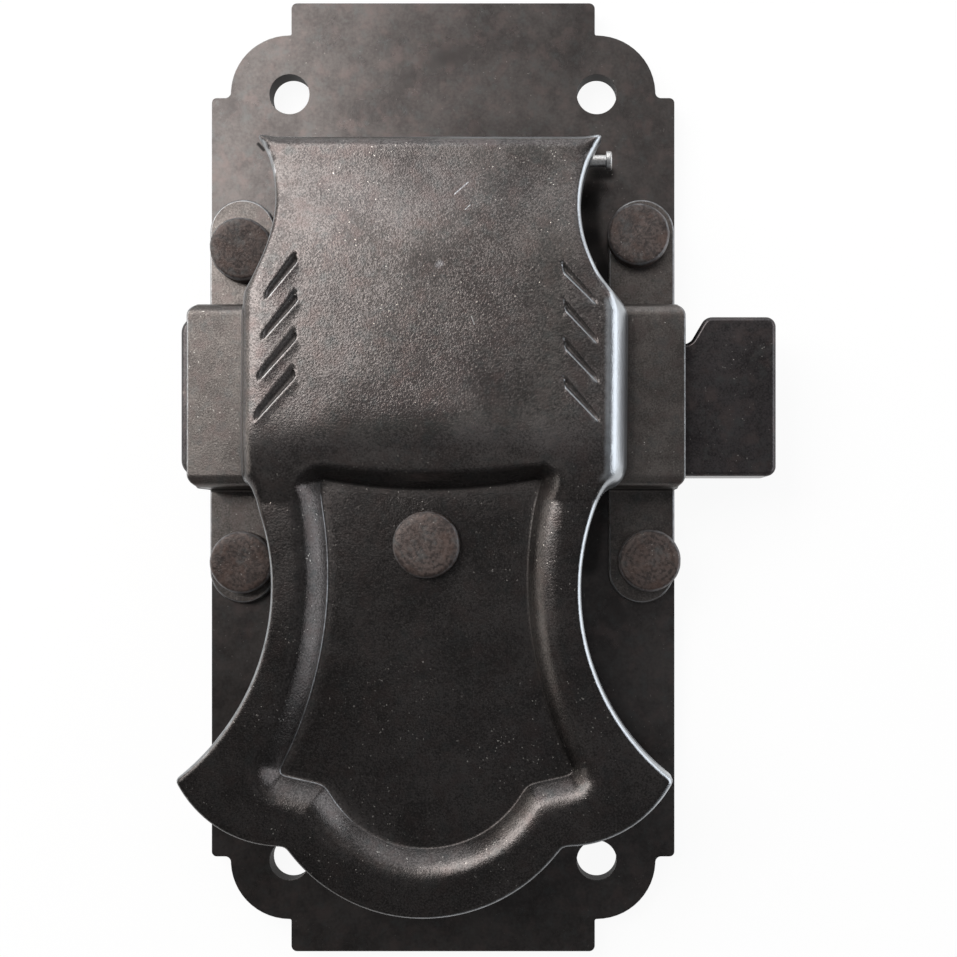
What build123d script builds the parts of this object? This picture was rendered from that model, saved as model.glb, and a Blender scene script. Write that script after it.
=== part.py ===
from build123d import *
import math
import os

os.makedirs("parts", exist_ok=True)

# Millimetres. X runs along the bolt with its nose at +X, Z is up, and the front faces -Y.
# The origin is the centre of the plate's back face. A "level" is a height in front of the plate's front face.

# Base plate, cut from sheet
plate_width = 73.2
plate_height = 150.0
plate_thickness = 3.0
screw_edge_x = 12.3  # screw holes in from the plate's sides
screw_edge_z = 14.4  # and from its ends
screw_hole = 6.3
lobe_radius = 9.3  # rounded corner, concentric with its screw hole
tab_step = 12.6  # the tabs' sides, in from the plate's
tab_corner = 1.3
shoulder_drop = 0.6  # shoulder edge below the screw hole's centre
shoulder_corner = 0.8

# Bolt, one flat bar with a raised block in its middle
bolt_height = 24.2
bolt_thickness = 8.0
bolt_centre_z = 11.9
bolt_gap = 0.3  # between the bar's back and the plate
tail_reach = 2.4  # beyond the plate's left edge
nose_reach = 14.8  # beyond its right edge
bolt_corner = 1.5
tail_corner = 2.4
bolt_edge = 0.5
relief_width = 5.6  # notch in the top edge beside the nose
relief_depth = 4.1
relief_run = 2.4
relief_reach = 4.1  # its far end, beyond the plate's right edge
relief_round = 1.8  # where the notch's slant meets the nose's top and its floor

# Keepers, hat-section straps
keeper_sheet = 1.5
keeper_play = 0.5  # over the bolt's front
keeper_side_play = 0.3  # above and below the bolt
keeper_overhang = 0.9  # beyond the plate's edge
keeper_width = 12.9
keeper_corner = 2.0
keeper_bend = 1.2
ear_width = 10.3
ear_edge = 5.3  # its centre line, in from the plate's edge
upper_ear_reach = 26.5  # from the bolt's centre line to the centre of the ear's round end
lower_ear_reach = 26.6

# Rivets that hold the keepers: each was driven a little off its ear's centre
rivet_shank = 5.0
rivet_head = 9.7
rivet_head_height = 3.0
rivet_edge = 0.6
rivet_tail = 8.0  # spread flush in a countersink in the plate's back
rivet_fit = 0.05
driven_off = {
    "left_upper_rivet": (0.4, -3.2),
    "left_lower_rivet": (0.4, 1.3),
    "right_upper_rivet": (-0.6, -0.9),
    "right_lower_rivet": (1.1, 1.6),
}

# Lever, one pressed sheet
lever_centre = -0.8  # the lever hangs slightly left of the plate's middle
lever_sheet = 1.6
lever_rest_gap = 0.3  # between the lever's edge and the keepers
rim_depth = 3.9
hump_rise = 3.0
panel_drop = 3.0
lever_top_z = 50.7
flange_cover = 4.3  # how far its flanges reach over the keepers
lever_top_in = 3.3  # half widths of its outline, in from the flanges
waist_in = 6.6
waist_z = 38.2
shoulder_in = 1.3
shoulder_z = 25.4
flange_top_z = 24.0
flange_bottom_z = -0.6
flange_step = 1.6  # the flange's lower corner runs back to the rim at 45 degrees
lower_waist_in = 6.3
lower_waist_z = -18.4
tip_out = 8.0  # out from the flanges
tip_z = -45.2
under_bulge = 2.5  # how far the underside of each tip bows out
notch_in = 8.4
notch_z = -55.1
lobe_bottom_z = -65.7
tip_corner = 1.6
outline_round = 1.8
front_round = 1.5
top_round = 3.2
top_fall = 0.4  # the front skin meets the top bend this far below the rim's level
crest_top_z = 30.4
crest_bottom_z = 16.4
hump_foot_z = 0.4
panel_top_in = 12.2  # half widths of the sunken panel, in from the flanges
panel_top_z = -0.6
panel_sag = 1.7
panel_waist_in = 14.0
panel_waist_z = -17.1
panel_corner_in = 6.7
panel_corner_z = -44.8
panel_notch_in = 13.4
panel_notch_z = -46.2
panel_bottom_z = -55.5
panel_round = 1.4
panel_corner = 1.2

# Slashes pressed into the hump, in two mirrored rows
slash_count = 4
slash_pitch = 5.6
slash_top_z = 30.4
slash_start_in = 9.5  # in from the flanges
slash_run = 5.4
slash_fall = 6.8
slash_wide = 1.3
slash_narrow = 0.5
slash_depth = 0.8

# Hinge at the lever's top
hinge_z = 48.0
hinge_level = 6.8
pin_diameter = 1.8
pin_fit = 0.06
pin_left_end = 0.6  # beyond the left lug
pin_right_end = 5.3  # beyond the right one
pin_head = 2.9
pin_head_height = 0.9
lug_in = 3.6  # outer faces of the lever's lugs, in from its top corners
lug_radius = 2.6
bracket_sheet = 2.0
bracket_play = 0.4
bracket_foot = 10.0
bracket_ear_radius = 2.6
bracket_rivet_spacing = 20.0
bracket_rivet_shank = 4.0
bracket_rivet_head = 7.0
bracket_rivet_head_height = 1.8
bracket_rivet_tail = 6.4

# Draw cam, under the lever's panel, and its rivet
cam_thickness = 3.0
cam_foot_gap = 1.5  # below the bolt
cam_foot_left = 8.0
cam_foot_bottom_z = -17.6
cam_arm_step = 1.1  # the arm's left edge, in from the tongue's slant
cam_arm_width = 8.0
cam_tongue_height = 4.0
cam_tongue_bottom_z = 9.9
cam_tip = -2.0  # the tongue's deepest and leftmost corner
cam_tip_level = 0.8
cam_corner = 2.5
cam_rivet_x = -1.2
cam_rivet_z = -10.6
cam_rivet_head = 10.0
cam_rivet_head_height = 2.0
cam_rivet_shank = 4.5
cam_rivet_tail = 8.0
cam_rivet_tail_height = 1.6
lever_lift = 20.0  # degrees
cam_gap = 0.25  # between the tongue and the bolt
cam_side_play = 1.0
block_left = 10.0
block_height = 10.0
block_rise = 1.5  # the block's middle above the window's, where the hump leaves more room
block_bevel = 2.0
block_roof_gap = 0.5  # between the block and the inside of the hump
hump_fall_over_block = 1.2  # how far the hump has fallen at the block's lower end

# Spring behind the bolt, and the post that it pushes against
spring_wire = 0.6
spring_diameter = 5.0
spring_turns = 6
wire_sides = 8  # the wire's round section is drawn with flats, which keeps the coil light
groove_width = 6.0
groove_depth = 6.0
groove_right = -5.6
groove_corner = 0.6
post_edge = 5.6  # in from the plate's left edge
post_diameter = 4.0
post_stop_gap = 0.25
post_tail = 6.4
spring_end_gap = 0.3

# Levels and places that follow from the sizes above
screw_spacing_x = plate_width - 2 * screw_edge_x
screw_spacing_z = plate_height - 2 * screw_edge_z
tab_width = plate_width - 2 * tab_step
tail_end = plate_width / 2 + tail_reach
nose_end = plate_width / 2 + nose_reach
relief_right = plate_width / 2 + relief_reach
keeper_inner = plate_width / 2 + keeper_overhang - keeper_width
ear_centre = plate_width / 2 - ear_edge
post_x = -plate_width / 2 + post_edge
flange_half = keeper_inner + flange_cover
lever_top_half = flange_half - lever_top_in
waist_half = flange_half - waist_in
shoulder_half = flange_half - shoulder_in
lower_waist_half = flange_half - lower_waist_in
tip_half = flange_half + tip_out
notch_half = flange_half - notch_in
panel_top_half = flange_half - panel_top_in
panel_waist_half = flange_half - panel_waist_in
panel_corner_half = flange_half - panel_corner_in
panel_notch_half = flange_half - panel_notch_in
slash_start_half = flange_half - slash_start_in
lug_outer = lever_top_half - lug_in
pin_left = lug_outer - lever_centre + pin_left_end
pin_right = lug_outer + lever_centre + pin_right_end
bolt_front = bolt_gap + bolt_thickness
keeper_top = bolt_front + keeper_play + keeper_sheet
keeper_outer_height = bolt_height + 2 * (keeper_side_play + keeper_sheet)
lever_edge = keeper_top + lever_rest_gap
rim_level = lever_edge + rim_depth
crest_level = rim_level + hump_rise
panel_level = rim_level - panel_drop
panel_back = panel_level - lever_sheet
cam_back = panel_back - cam_thickness
cam_arm_left = cam_tip + panel_back - cam_tip_level + cam_arm_step
cam_arm_right = cam_arm_left + cam_arm_width
block_level = crest_level - lever_sheet - block_roof_gap - hump_fall_over_block
tongue_reach = hinge_z - cam_tongue_bottom_z
cam_sweep = tongue_reach * math.sin(math.radians(lever_lift))
bolt_travel = cam_sweep + (hinge_level - cam_tip_level) * (1 - math.cos(math.radians(lever_lift)))


def level(height, x=0):
    """Sketch plane at a level, with X to the right from x, Z up and its normal to the front."""
    return Plane(origin=(x, -plate_thickness - height, 0), x_dir=(1, 0, 0), z_dir=(0, -1, 0))


def side(x):
    """Sketch plane across the bolt at x, with the level as its first coordinate and Z as its second."""
    return Plane(origin=(x, -plate_thickness, 0), x_dir=(0, -1, 0), z_dir=(-1, 0, 0))


def plan(x, z):
    """Level sketch plane at height z, with X from x as its first coordinate and the level as its second."""
    return Plane(origin=(x, -plate_thickness, z), x_dir=(1, 0, 0), z_dir=(0, 0, -1))


def across(x, z):
    """Line through the plate at x and z."""
    return Axis((x, 0, z), (0, 1, 0))


def turned(x, z, points):
    """Solid turned about the line through the plate at x and z, from radius and level points."""
    with BuildPart() as body:
        with BuildSketch(plan(x, z)):
            with BuildLine():
                Polyline(*points, close=True)
            make_face()
        revolve(axis=across(x, z))
    return body.part


def plate_rivet(x, z, seat, shank, head, head_height, tail, edge):
    """Rivet with a flat head on the level seat and a tail spread flush with the plate's back."""
    tail_radius = tail / 2 - rivet_fit
    top = seat + head_height
    return turned(x, z, [
        (0, -plate_thickness),
        (tail_radius, -plate_thickness),
        (shank / 2, -plate_thickness + tail_radius - shank / 2),
        (shank / 2, seat),
        (head / 2, seat),
        (head / 2, top - edge),
        (head / 2 - edge, top),
        (0, top),
    ])


# Places of the rivets that go through the plate
keeper_rivets = {}
for name, (off_x, off_z) in driven_off.items():
    hand = 1 if name.startswith("right") else -1
    reach = upper_ear_reach if "upper" in name else -lower_ear_reach
    keeper_rivets[name] = (hand * ear_centre + off_x, bolt_centre_z + reach + off_z)
bracket_rivet_z = hinge_z + bracket_ear_radius - bracket_foot / 2
bracket_rivets = {
    "left_bracket_rivet": (lever_centre - bracket_rivet_spacing / 2, bracket_rivet_z),
    "right_bracket_rivet": (lever_centre + bracket_rivet_spacing / 2, bracket_rivet_z),
}

# Base plate
with BuildPart() as base_plate:
    with BuildSketch(Plane.XZ):
        Rectangle(plate_width, screw_spacing_z - 2 * shoulder_drop)
        Rectangle(screw_spacing_x, screw_spacing_z + 2 * lobe_radius)
        Rectangle(tab_width, plate_height)
        with GridLocations(screw_spacing_x, screw_spacing_z, 2, 2):
            Circle(lobe_radius)
        fillet(vertices().filter_by(lambda v: abs(abs(v.Z) - plate_height / 2) < 0.01), tab_corner)
        fillet(vertices().filter_by(lambda v: abs(abs(v.X) - plate_width / 2) < 0.01), shoulder_corner)
        with GridLocations(screw_spacing_x, screw_spacing_z, 2, 2):
            Circle(screw_hole / 2, mode=Mode.SUBTRACT)
    extrude(amount=plate_thickness)
    countersunk = [(place, rivet_shank, rivet_tail) for place in keeper_rivets.values()]
    countersunk += [(place, bracket_rivet_shank, bracket_rivet_tail) for place in bracket_rivets.values()]
    countersunk.append(((post_x, bolt_centre_z), post_diameter, post_tail))
    for (x, z), shank, tail in countersunk:
        with Locations(Plane(origin=(x, 0, z), z_dir=(0, 1, 0))):
            CounterSinkHole(shank / 2 + rivet_fit, tail / 2, counter_sink_angle=90)
base_plate.part.label = "base_plate"
export_step(base_plate.part, "parts/base_plate.step")

# Keepers
half_body = keeper_outer_height / 2 - keeper_sheet / 2
ear_top = bolt_centre_z + upper_ear_reach
ear_bottom = bolt_centre_z - lower_ear_reach
for name, hand in (("left_keeper", -1), ("right_keeper", 1)):
    body_x = hand * (keeper_inner + keeper_width / 2)
    with BuildPart() as keeper:
        with BuildSketch(side(body_x)):
            with BuildLine():
                FilletPolyline(
                    (keeper_sheet / 2, ear_top + ear_width),
                    (keeper_sheet / 2, bolt_centre_z + half_body),
                    (keeper_top - keeper_sheet / 2, bolt_centre_z + half_body),
                    (keeper_top - keeper_sheet / 2, bolt_centre_z - half_body),
                    (keeper_sheet / 2, bolt_centre_z - half_body),
                    (keeper_sheet / 2, ear_bottom - ear_width),
                    radius=keeper_bend,
                )
            trace(line_width=keeper_sheet)
        extrude(amount=keeper_width / 2, both=True)
        with BuildSketch(level(0)):
            with Locations((body_x, bolt_centre_z)):
                RectangleRounded(keeper_width, keeper_outer_height, keeper_corner)
            with Locations((hand * ear_centre, (ear_top + ear_bottom) / 2)):
                SlotCenterToCenter(ear_top - ear_bottom, ear_width, rotation=90)
        extrude(amount=keeper_top, mode=Mode.INTERSECT)
        for x, z in [place for rivet, place in keeper_rivets.items() if rivet.split("_")[0] in name]:
            with BuildSketch(level(0)):
                with Locations((x, z)):
                    Circle(rivet_shank / 2 + rivet_fit)
            extrude(amount=keeper_top, mode=Mode.SUBTRACT)
    keeper.part.label = name
    export_step(keeper.part, f"parts/{name}.step")

for name, (x, z) in keeper_rivets.items():
    rivet = plate_rivet(
        x, z, keeper_sheet, rivet_shank, rivet_head, rivet_head_height, rivet_tail, rivet_edge
    )
    rivet.label = name
    export_step(rivet, f"parts/{name}.step")

# Bolt: bar, notch beside the nose, window and slanted block for the cam's tongue, and the spring's groove
block_face_at_front = cam_tip - cam_gap + bolt_front - cam_tip_level
block_face_at_top = block_face_at_front + block_level - bolt_front
window_left = cam_tip - cam_gap - (cam_tip_level - bolt_gap)
window_right = cam_arm_right + bolt_travel + cam_side_play
window_bottom = cam_tongue_bottom_z - cam_side_play
window_top = cam_tongue_bottom_z + cam_tongue_height + cam_side_play
block_centre_z = (window_bottom + window_top) / 2 + block_rise
arm_pocket_floor = cam_back - keeper_play
bolt_bottom = bolt_centre_z - bolt_height / 2
bolt_top = bolt_centre_z + bolt_height / 2
groove_left = post_x - post_diameter / 2 - post_stop_gap
with BuildPart() as bolt:
    with BuildSketch(level(bolt_gap)):
        with Locations(((nose_end - tail_end) / 2, bolt_centre_z)):
            Rectangle(nose_end + tail_end, bolt_height)
        fillet(vertices().group_by(Axis.X)[-1], bolt_corner)
        fillet(vertices().group_by(Axis.X)[0], tail_corner)
        with BuildLine():
            Polyline(
                (relief_right, bolt_top + 1),
                (relief_right, bolt_top),
                (relief_right - relief_run, bolt_top - relief_depth),
                (relief_right - relief_width, bolt_top - relief_depth),
                (relief_right - relief_width, bolt_top + 1),
                close=True,
            )
        make_face(mode=Mode.SUBTRACT)
        slant = vertices().filter_by(lambda v: v.X > relief_right - relief_width + 0.1)
        fillet(slant.filter_by(lambda v: v.X < relief_right + 0.1), relief_round)
    extrude(amount=bolt_thickness)
    chamfer(bolt.faces().sort_by(Axis.Y)[0].outer_wire().edges(), bolt_edge)
    # Raised block whose right face slants back towards the cam's tip
    with BuildSketch(plan(0, block_centre_z)):
        with BuildLine():
            Polyline(
                (-block_left, bolt_gap + bolt_thickness / 2),
                (block_face_at_front - bolt_thickness / 2, bolt_gap + bolt_thickness / 2),
                (block_face_at_top, block_level),
                (-block_left + block_bevel, block_level),
                (-block_left, block_level - block_bevel),
                close=True,
            )
        make_face()
    extrude(amount=block_height / 2, both=True)
    # Window that the tongue works in, with the same slant on its left side
    with BuildSketch(plan(0, (window_bottom + window_top) / 2)):
        with BuildLine():
            Polyline(
                (window_left, bolt_gap),
                (block_face_at_front, bolt_front),
                (window_right, bolt_front),
                (window_right, bolt_gap),
                close=True,
            )
        make_face()
    extrude(amount=(window_top - window_bottom) / 2, both=True, mode=Mode.SUBTRACT)
    # Shallow pocket in the front, from the bottom edge up to the window, for the cam's arm
    with BuildSketch(level(arm_pocket_floor)):
        with Locations(((cam_arm_left - cam_gap + window_right) / 2, (bolt_bottom + window_top) / 2)):
            Rectangle(window_right - cam_arm_left + cam_gap, window_top - bolt_bottom)
    extrude(amount=bolt_front - arm_pocket_floor, mode=Mode.SUBTRACT)
    # Groove in the back for the spring
    with BuildSketch(level(bolt_gap)):
        with Locations(((groove_left + groove_right) / 2, bolt_centre_z)):
            RectangleRounded(groove_right - groove_left, groove_width, groove_corner)
    extrude(amount=groove_depth, mode=Mode.SUBTRACT)
bolt.part.label = "bolt"
export_step(bolt.part, "parts/bolt.step")


def half_bottom_arc(start, bottom_z):
    """Arc from start down to the centre line, where it is level at bottom_z."""
    drop = start[1] - bottom_z
    radius = (start[0] ** 2 + drop**2) / (2 * drop)
    half_angle = math.asin(start[0] / radius) / 2
    middle = (radius * math.sin(half_angle), bottom_z + radius * (1 - math.cos(half_angle)))
    return ThreePointArc(start, middle, (0, bottom_z))


def lever_outline(inset):
    """Outline of the pressed lever as a sketch, drawn in by inset."""
    with BuildSketch() as outline:
        with BuildLine():
            Line((0, lever_top_z), (lever_top_half, lever_top_z))
            ThreePointArc((lever_top_half, lever_top_z), (waist_half, waist_z), (shoulder_half, shoulder_z))
            Polyline((shoulder_half, shoulder_z), (flange_half, flange_top_z), (flange_half, flange_bottom_z))
            lower_start = (flange_half - flange_step, flange_bottom_z - flange_step)
            Line((flange_half, flange_bottom_z), lower_start)
            ThreePointArc(lower_start, (lower_waist_half, lower_waist_z), (tip_half, tip_z))
            middle = ((tip_half + notch_half) / 2 + under_bulge / 2, (tip_z + notch_z) / 2 - under_bulge)
            ThreePointArc((tip_half, tip_z), middle, (notch_half, notch_z))
            Line((0, lobe_bottom_z), (0, lever_top_z))
            half_bottom_arc((notch_half, notch_z), lobe_bottom_z)
        make_face()
        mirror(about=Plane.YZ)
        fillet(vertices().filter_by(lambda v: abs(v.X) > tip_half - 0.1), tip_corner)
        below_top = vertices().filter_by(lambda v: v.Y < lever_top_z - 1 and abs(v.X) > 0.1)
        fillet(below_top.filter_by(lambda v: abs(v.X) < tip_half - 2), outline_round)
        if inset:
            offset(amount=-inset)
    return outline.sketch


def panel_outline(growth):
    """Outline of the sunken panel as a sketch, each of its sides moved out by growth."""
    top = (panel_top_half + growth, panel_top_z + growth)
    corner = (panel_corner_half + growth, panel_corner_z - growth)
    notch = (panel_notch_half + growth * 2 / 3, panel_notch_z - growth * 0.9)
    with BuildSketch() as outline:
        with BuildLine():
            ThreePointArc((0, top[1] - panel_sag), (top[0] / 2, top[1] - panel_sag * 3 / 4), top)
            ThreePointArc(top, (panel_waist_half + growth, panel_waist_z), corner)
            Line(corner, notch)
            half_bottom_arc(notch, panel_bottom_z - growth)
            Line((0, panel_bottom_z - growth), (0, top[1] - panel_sag))
        make_face()
        mirror(about=Plane.YZ)
        fillet(vertices().filter_by(lambda v: abs(v.X) > notch[0] + 0.5), panel_corner + growth / 2)
    return outline.sketch


def hump_section(inset):
    """Side view of the pressed form's front skin as a sketch, drawn in by inset."""
    top = lever_top_z - inset
    rim = rim_level - inset
    crest = crest_level - inset
    bend = top_round - inset
    start = rim - top_fall
    foot_z = hump_foot_z - inset / 2
    with BuildSketch() as section:
        with BuildLine():
            Polyline((0, lobe_bottom_z - 5), (0, top), (start - bend, top))
            ThreePointArc(
                (start - bend, top),
                (start - bend * (1 - math.sqrt(0.5)), top - bend * (1 - math.sqrt(0.5))),
                (start, top - bend),
            )
            Spline((start, top - bend), (crest, crest_top_z), tangents=[(0.3, -1), (0, -1)])
            Line((crest, crest_top_z), (crest, crest_bottom_z))
            Spline((crest, crest_bottom_z), (rim, foot_z), tangents=[(0, -1), (0, -1)])
            Polyline((rim, foot_z), (rim, lobe_bottom_z - 5), (0, lobe_bottom_z - 5))
        make_face()
    return section.sketch


def pressed_form(inset, bottom):
    """Solid under the front skin, drawn in by inset, from the level bottom up, before the panel is sunk."""
    with BuildPart() as form:
        with BuildSketch(level(bottom, lever_centre)):
            add(lever_outline(inset))
        extrude(amount=crest_level + 2 - bottom)
        with BuildSketch(side(lever_centre)):
            add(hump_section(inset))
        extrude(amount=flange_half + tip_half, both=True, mode=Mode.INTERSECT)
    return form.part


def front_edges(form):
    """Edges between the form's front skin and its sides, apart from the straight one along its top bend."""
    skin = form.faces().filter_by(lambda face: face.normal_at().Y < -0.25)
    sides = form.faces().filter_by(lambda face: abs(face.normal_at().Y) < 0.01)
    return skin.edges().filter_by(
        lambda edge: edge.center().Z < lever_top_z - top_round / 10
        and any(edge.is_same(other) for other in sides.edges())
    )


def panel_block(growth, bottom, top):
    """Upright block over the sunken panel's outline, grown by growth, between two levels."""
    with BuildPart() as block:
        with BuildSketch(level(bottom, lever_centre)):
            add(panel_outline(growth))
        extrude(amount=top - bottom)
    return block.part


# Lever: front skin, hollow behind, sunken panel, two lugs for the pin, slashes and the rivet's hole
wall_middle = panel_round  # the panel's step is rounded at its foot and stands this far out from the outline
with BuildPart() as lever:
    add(pressed_form(0, lever_edge))
    fillet(front_edges(lever.part), front_round)
    add(panel_block(wall_middle + lever_sheet, panel_back, rim_level - lever_sheet / 2))
    hollow = pressed_form(lever_sheet, lever_edge) - panel_block(
        wall_middle + lever_sheet, panel_back, crest_level
    )
    add(hollow, mode=Mode.SUBTRACT)
    add(panel_block(wall_middle, panel_level, crest_level), mode=Mode.SUBTRACT)
    panel_face = lever.faces().filter_by(
        lambda face: abs(face.center().Y + plate_thickness + panel_level) < 0.01
    ).sort_by(SortBy.AREA)[-1]
    fillet(panel_face.outer_wire().edges(), panel_round)
    # Lugs that hang from the skin on both sides of the bracket
    for hand in (-1, 1):
        with BuildSketch(side(lever_centre + hand * (lug_outer - lever_sheet / 2))):
            with Locations((hinge_level, hinge_z)):
                Circle(lug_radius)
            with Locations(((hinge_level + rim_level - lever_sheet) / 2, hinge_z)):
                Rectangle(rim_level - lever_sheet - hinge_level, 2 * lug_radius)
            with Locations((hinge_level, hinge_z)):
                Circle(pin_diameter / 2 + pin_fit, mode=Mode.SUBTRACT)
        extrude(amount=lever_sheet / 2, both=True)
    # Slashes, wide at their upper inner ends
    for hand in (-1, 1):
        for row in range(slash_count):
            start = Vector(hand * slash_start_half, slash_top_z - row * slash_pitch)
            finish = start + Vector(hand * slash_run, -slash_fall)
            across_slash = (finish - start).normalized().rotate(Axis.Z, 90)
            with BuildSketch(level(crest_level - slash_depth, lever_centre)):
                with BuildLine():
                    Polyline(
                        start + across_slash * slash_wide / 2,
                        finish + across_slash * slash_narrow / 2,
                        finish - across_slash * slash_narrow / 2,
                        start - across_slash * slash_wide / 2,
                        close=True,
                    )
                make_face()
            extrude(amount=2 * slash_depth, mode=Mode.SUBTRACT)
    with BuildSketch(level(panel_back, cam_rivet_x)):
        with Locations((0, cam_rivet_z)):
            Circle(cam_rivet_shank / 2 + rivet_fit)
    extrude(amount=lever_sheet, mode=Mode.SUBTRACT)
lever.part.label = "lever"
export_step(lever.part, "parts/lever.step")

# Draw cam: foot under the panel, arm over the bolt's lower edge, and a tongue with a slanted left face
tongue_top = block_level
tongue_mid_z = cam_tongue_bottom_z + cam_tongue_height / 2
with BuildPart() as draw_cam:
    with BuildSketch(level(cam_back)):
        foot_top_z = bolt_bottom - cam_foot_gap
        with Locations(((cam_arm_right - cam_foot_left) / 2, (cam_foot_bottom_z + foot_top_z) / 2)):
            RectangleRounded(cam_arm_right + cam_foot_left, foot_top_z - cam_foot_bottom_z, cam_corner)
        arm_bottom_z = foot_top_z - 2 * cam_corner
        arm_top_z = cam_tongue_bottom_z + cam_tongue_height
        with Locations(((cam_arm_left + cam_arm_right) / 2, (arm_bottom_z + arm_top_z) / 2)):
            Rectangle(cam_arm_right - cam_arm_left, arm_top_z - arm_bottom_z)
        with Locations((cam_rivet_x, cam_rivet_z)):
            Circle(cam_rivet_shank / 2 + rivet_fit, mode=Mode.SUBTRACT)
    extrude(amount=cam_thickness)
    with BuildSketch(plan(0, tongue_mid_z)):
        with BuildLine():
            Polyline(
                (cam_tip, cam_tip_level),
                (cam_tip + tongue_top - cam_tip_level, tongue_top),
                (cam_arm_right, tongue_top),
                (cam_arm_right, cam_tip_level),
                close=True,
            )
        make_face()
    extrude(amount=cam_tongue_height / 2, both=True)
draw_cam.part.label = "draw_cam"
export_step(draw_cam.part, "parts/draw_cam.step")

# Rivet through the panel and the cam's foot, with a flat head in front and a formed head behind
cam_rivet = turned(cam_rivet_x, cam_rivet_z, [
    (0, cam_back - cam_rivet_tail_height),
    (cam_rivet_tail / 2 - rivet_edge, cam_back - cam_rivet_tail_height),
    (cam_rivet_tail / 2, cam_back - cam_rivet_tail_height + rivet_edge),
    (cam_rivet_tail / 2, cam_back),
    (cam_rivet_shank / 2, cam_back),
    (cam_rivet_shank / 2, panel_level),
    (cam_rivet_head / 2, panel_level),
    (cam_rivet_head / 2, panel_level + cam_rivet_head_height - rivet_edge),
    (cam_rivet_head / 2 - rivet_edge, panel_level + cam_rivet_head_height),
    (0, panel_level + cam_rivet_head_height),
])
cam_rivet.label = "cam_rivet"
export_step(cam_rivet, "parts/cam_rivet.step")

# Hinge bracket: a U of sheet whose ears stand just inside the lever's lugs
bracket_outer = lug_outer - lever_sheet - bracket_play
with BuildPart() as hinge_bracket:
    foot_top = hinge_z + bracket_ear_radius
    with BuildSketch(level(0, lever_centre)):
        with Locations((0, foot_top - bracket_foot / 2)):
            Rectangle(2 * bracket_outer, bracket_foot)
        with Locations((0, bracket_rivet_z)):
            with GridLocations(bracket_rivet_spacing, 0, 2, 1):
                Circle(bracket_rivet_shank / 2 + rivet_fit, mode=Mode.SUBTRACT)
    extrude(amount=bracket_sheet)
    for hand in (-1, 1):
        with BuildSketch(side(lever_centre + hand * (bracket_outer - bracket_sheet / 2))):
            with Locations((hinge_level, hinge_z)):
                Circle(bracket_ear_radius)
            with Locations((hinge_level / 2, hinge_z)):
                Rectangle(hinge_level, 2 * bracket_ear_radius)
            with Locations((hinge_level, hinge_z)):
                Circle(pin_diameter / 2 + pin_fit, mode=Mode.SUBTRACT)
        extrude(amount=bracket_sheet / 2, both=True)
    outer_bends = hinge_bracket.edges().filter_by(Axis.Z).filter_by(
        lambda edge: abs(edge.center().Y + plate_thickness) < 0.01
    )
    fillet(outer_bends, bracket_sheet * 0.6)
hinge_bracket.part.label = "hinge_bracket"
export_step(hinge_bracket.part, "parts/hinge_bracket.step")

for name, (x, z) in bracket_rivets.items():
    rivet = plate_rivet(
        x, z, bracket_sheet, bracket_rivet_shank, bracket_rivet_head,
        bracket_rivet_head_height, bracket_rivet_tail, rivet_edge,
    )
    rivet.label = name
    export_step(rivet, f"parts/{name}.step")

# Hinge pin, with its right end hammered over
hinge_line = Plane(origin=(0, -plate_thickness - hinge_level, hinge_z), z_dir=(1, 0, 0))
with BuildPart() as hinge_pin:
    with BuildSketch(hinge_line.offset(-pin_left)):
        Circle(pin_diameter / 2)
    extrude(amount=pin_left + pin_right)
    with BuildSketch(hinge_line.offset(pin_right)):
        Circle(pin_head / 2)
    extrude(amount=-pin_head_height)
    fillet(hinge_pin.edges().filter_by(GeomType.CIRCLE).sort_by(Axis.X)[-1], pin_head_height / 3)
hinge_pin.part.label = "hinge_pin"
export_step(hinge_pin.part, "parts/hinge_pin.step")

# Post that the spring pushes against; it also stops the bolt at full reach
post_top = groove_depth - bolt_gap
spring_post = turned(post_x, bolt_centre_z, [
    (0, -plate_thickness),
    (post_tail / 2 - rivet_fit, -plate_thickness),
    (post_diameter / 2, -plate_thickness + post_tail / 2 - rivet_fit - post_diameter / 2),
    (post_diameter / 2, post_top),
    (0, post_top),
])
spring_post.label = "spring_post"
export_step(spring_post, "parts/spring_post.step")

# Bolt spring, in the groove between the post and the groove's right end
spring_left = post_x + post_diameter / 2 + spring_end_gap + spring_wire / 2
spring_right = groove_right - spring_end_gap - spring_wire / 2
spring_radius = (spring_diameter - spring_wire) / 2
spring_level = bolt_gap + groove_depth / 2
spring_start = Vector(spring_left, -plate_thickness - spring_level, bolt_centre_z)
with BuildPart() as bolt_spring:
    with BuildLine():
        coil = Helix(
            (spring_right - spring_left) / spring_turns,
            spring_right - spring_left,
            spring_radius,
            center=spring_start,
            direction=(1, 0, 0),
        )
    with BuildSketch(Plane(origin=coil @ 0, z_dir=coil % 0)):
        RegularPolygon(spring_wire / 2, wire_sides)
    sweep(is_frenet=True)
bolt_spring.part.label = "bolt_spring"
export_step(bolt_spring.part, "parts/bolt_spring.step")
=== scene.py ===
import logging
import math
from dataclasses import dataclass
from enum import Enum
from typing import Sequence

import bmesh
import bpy
import numpy as np
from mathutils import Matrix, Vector, noise
from mathutils.geometry import delaunay_2d_cdt


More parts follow.
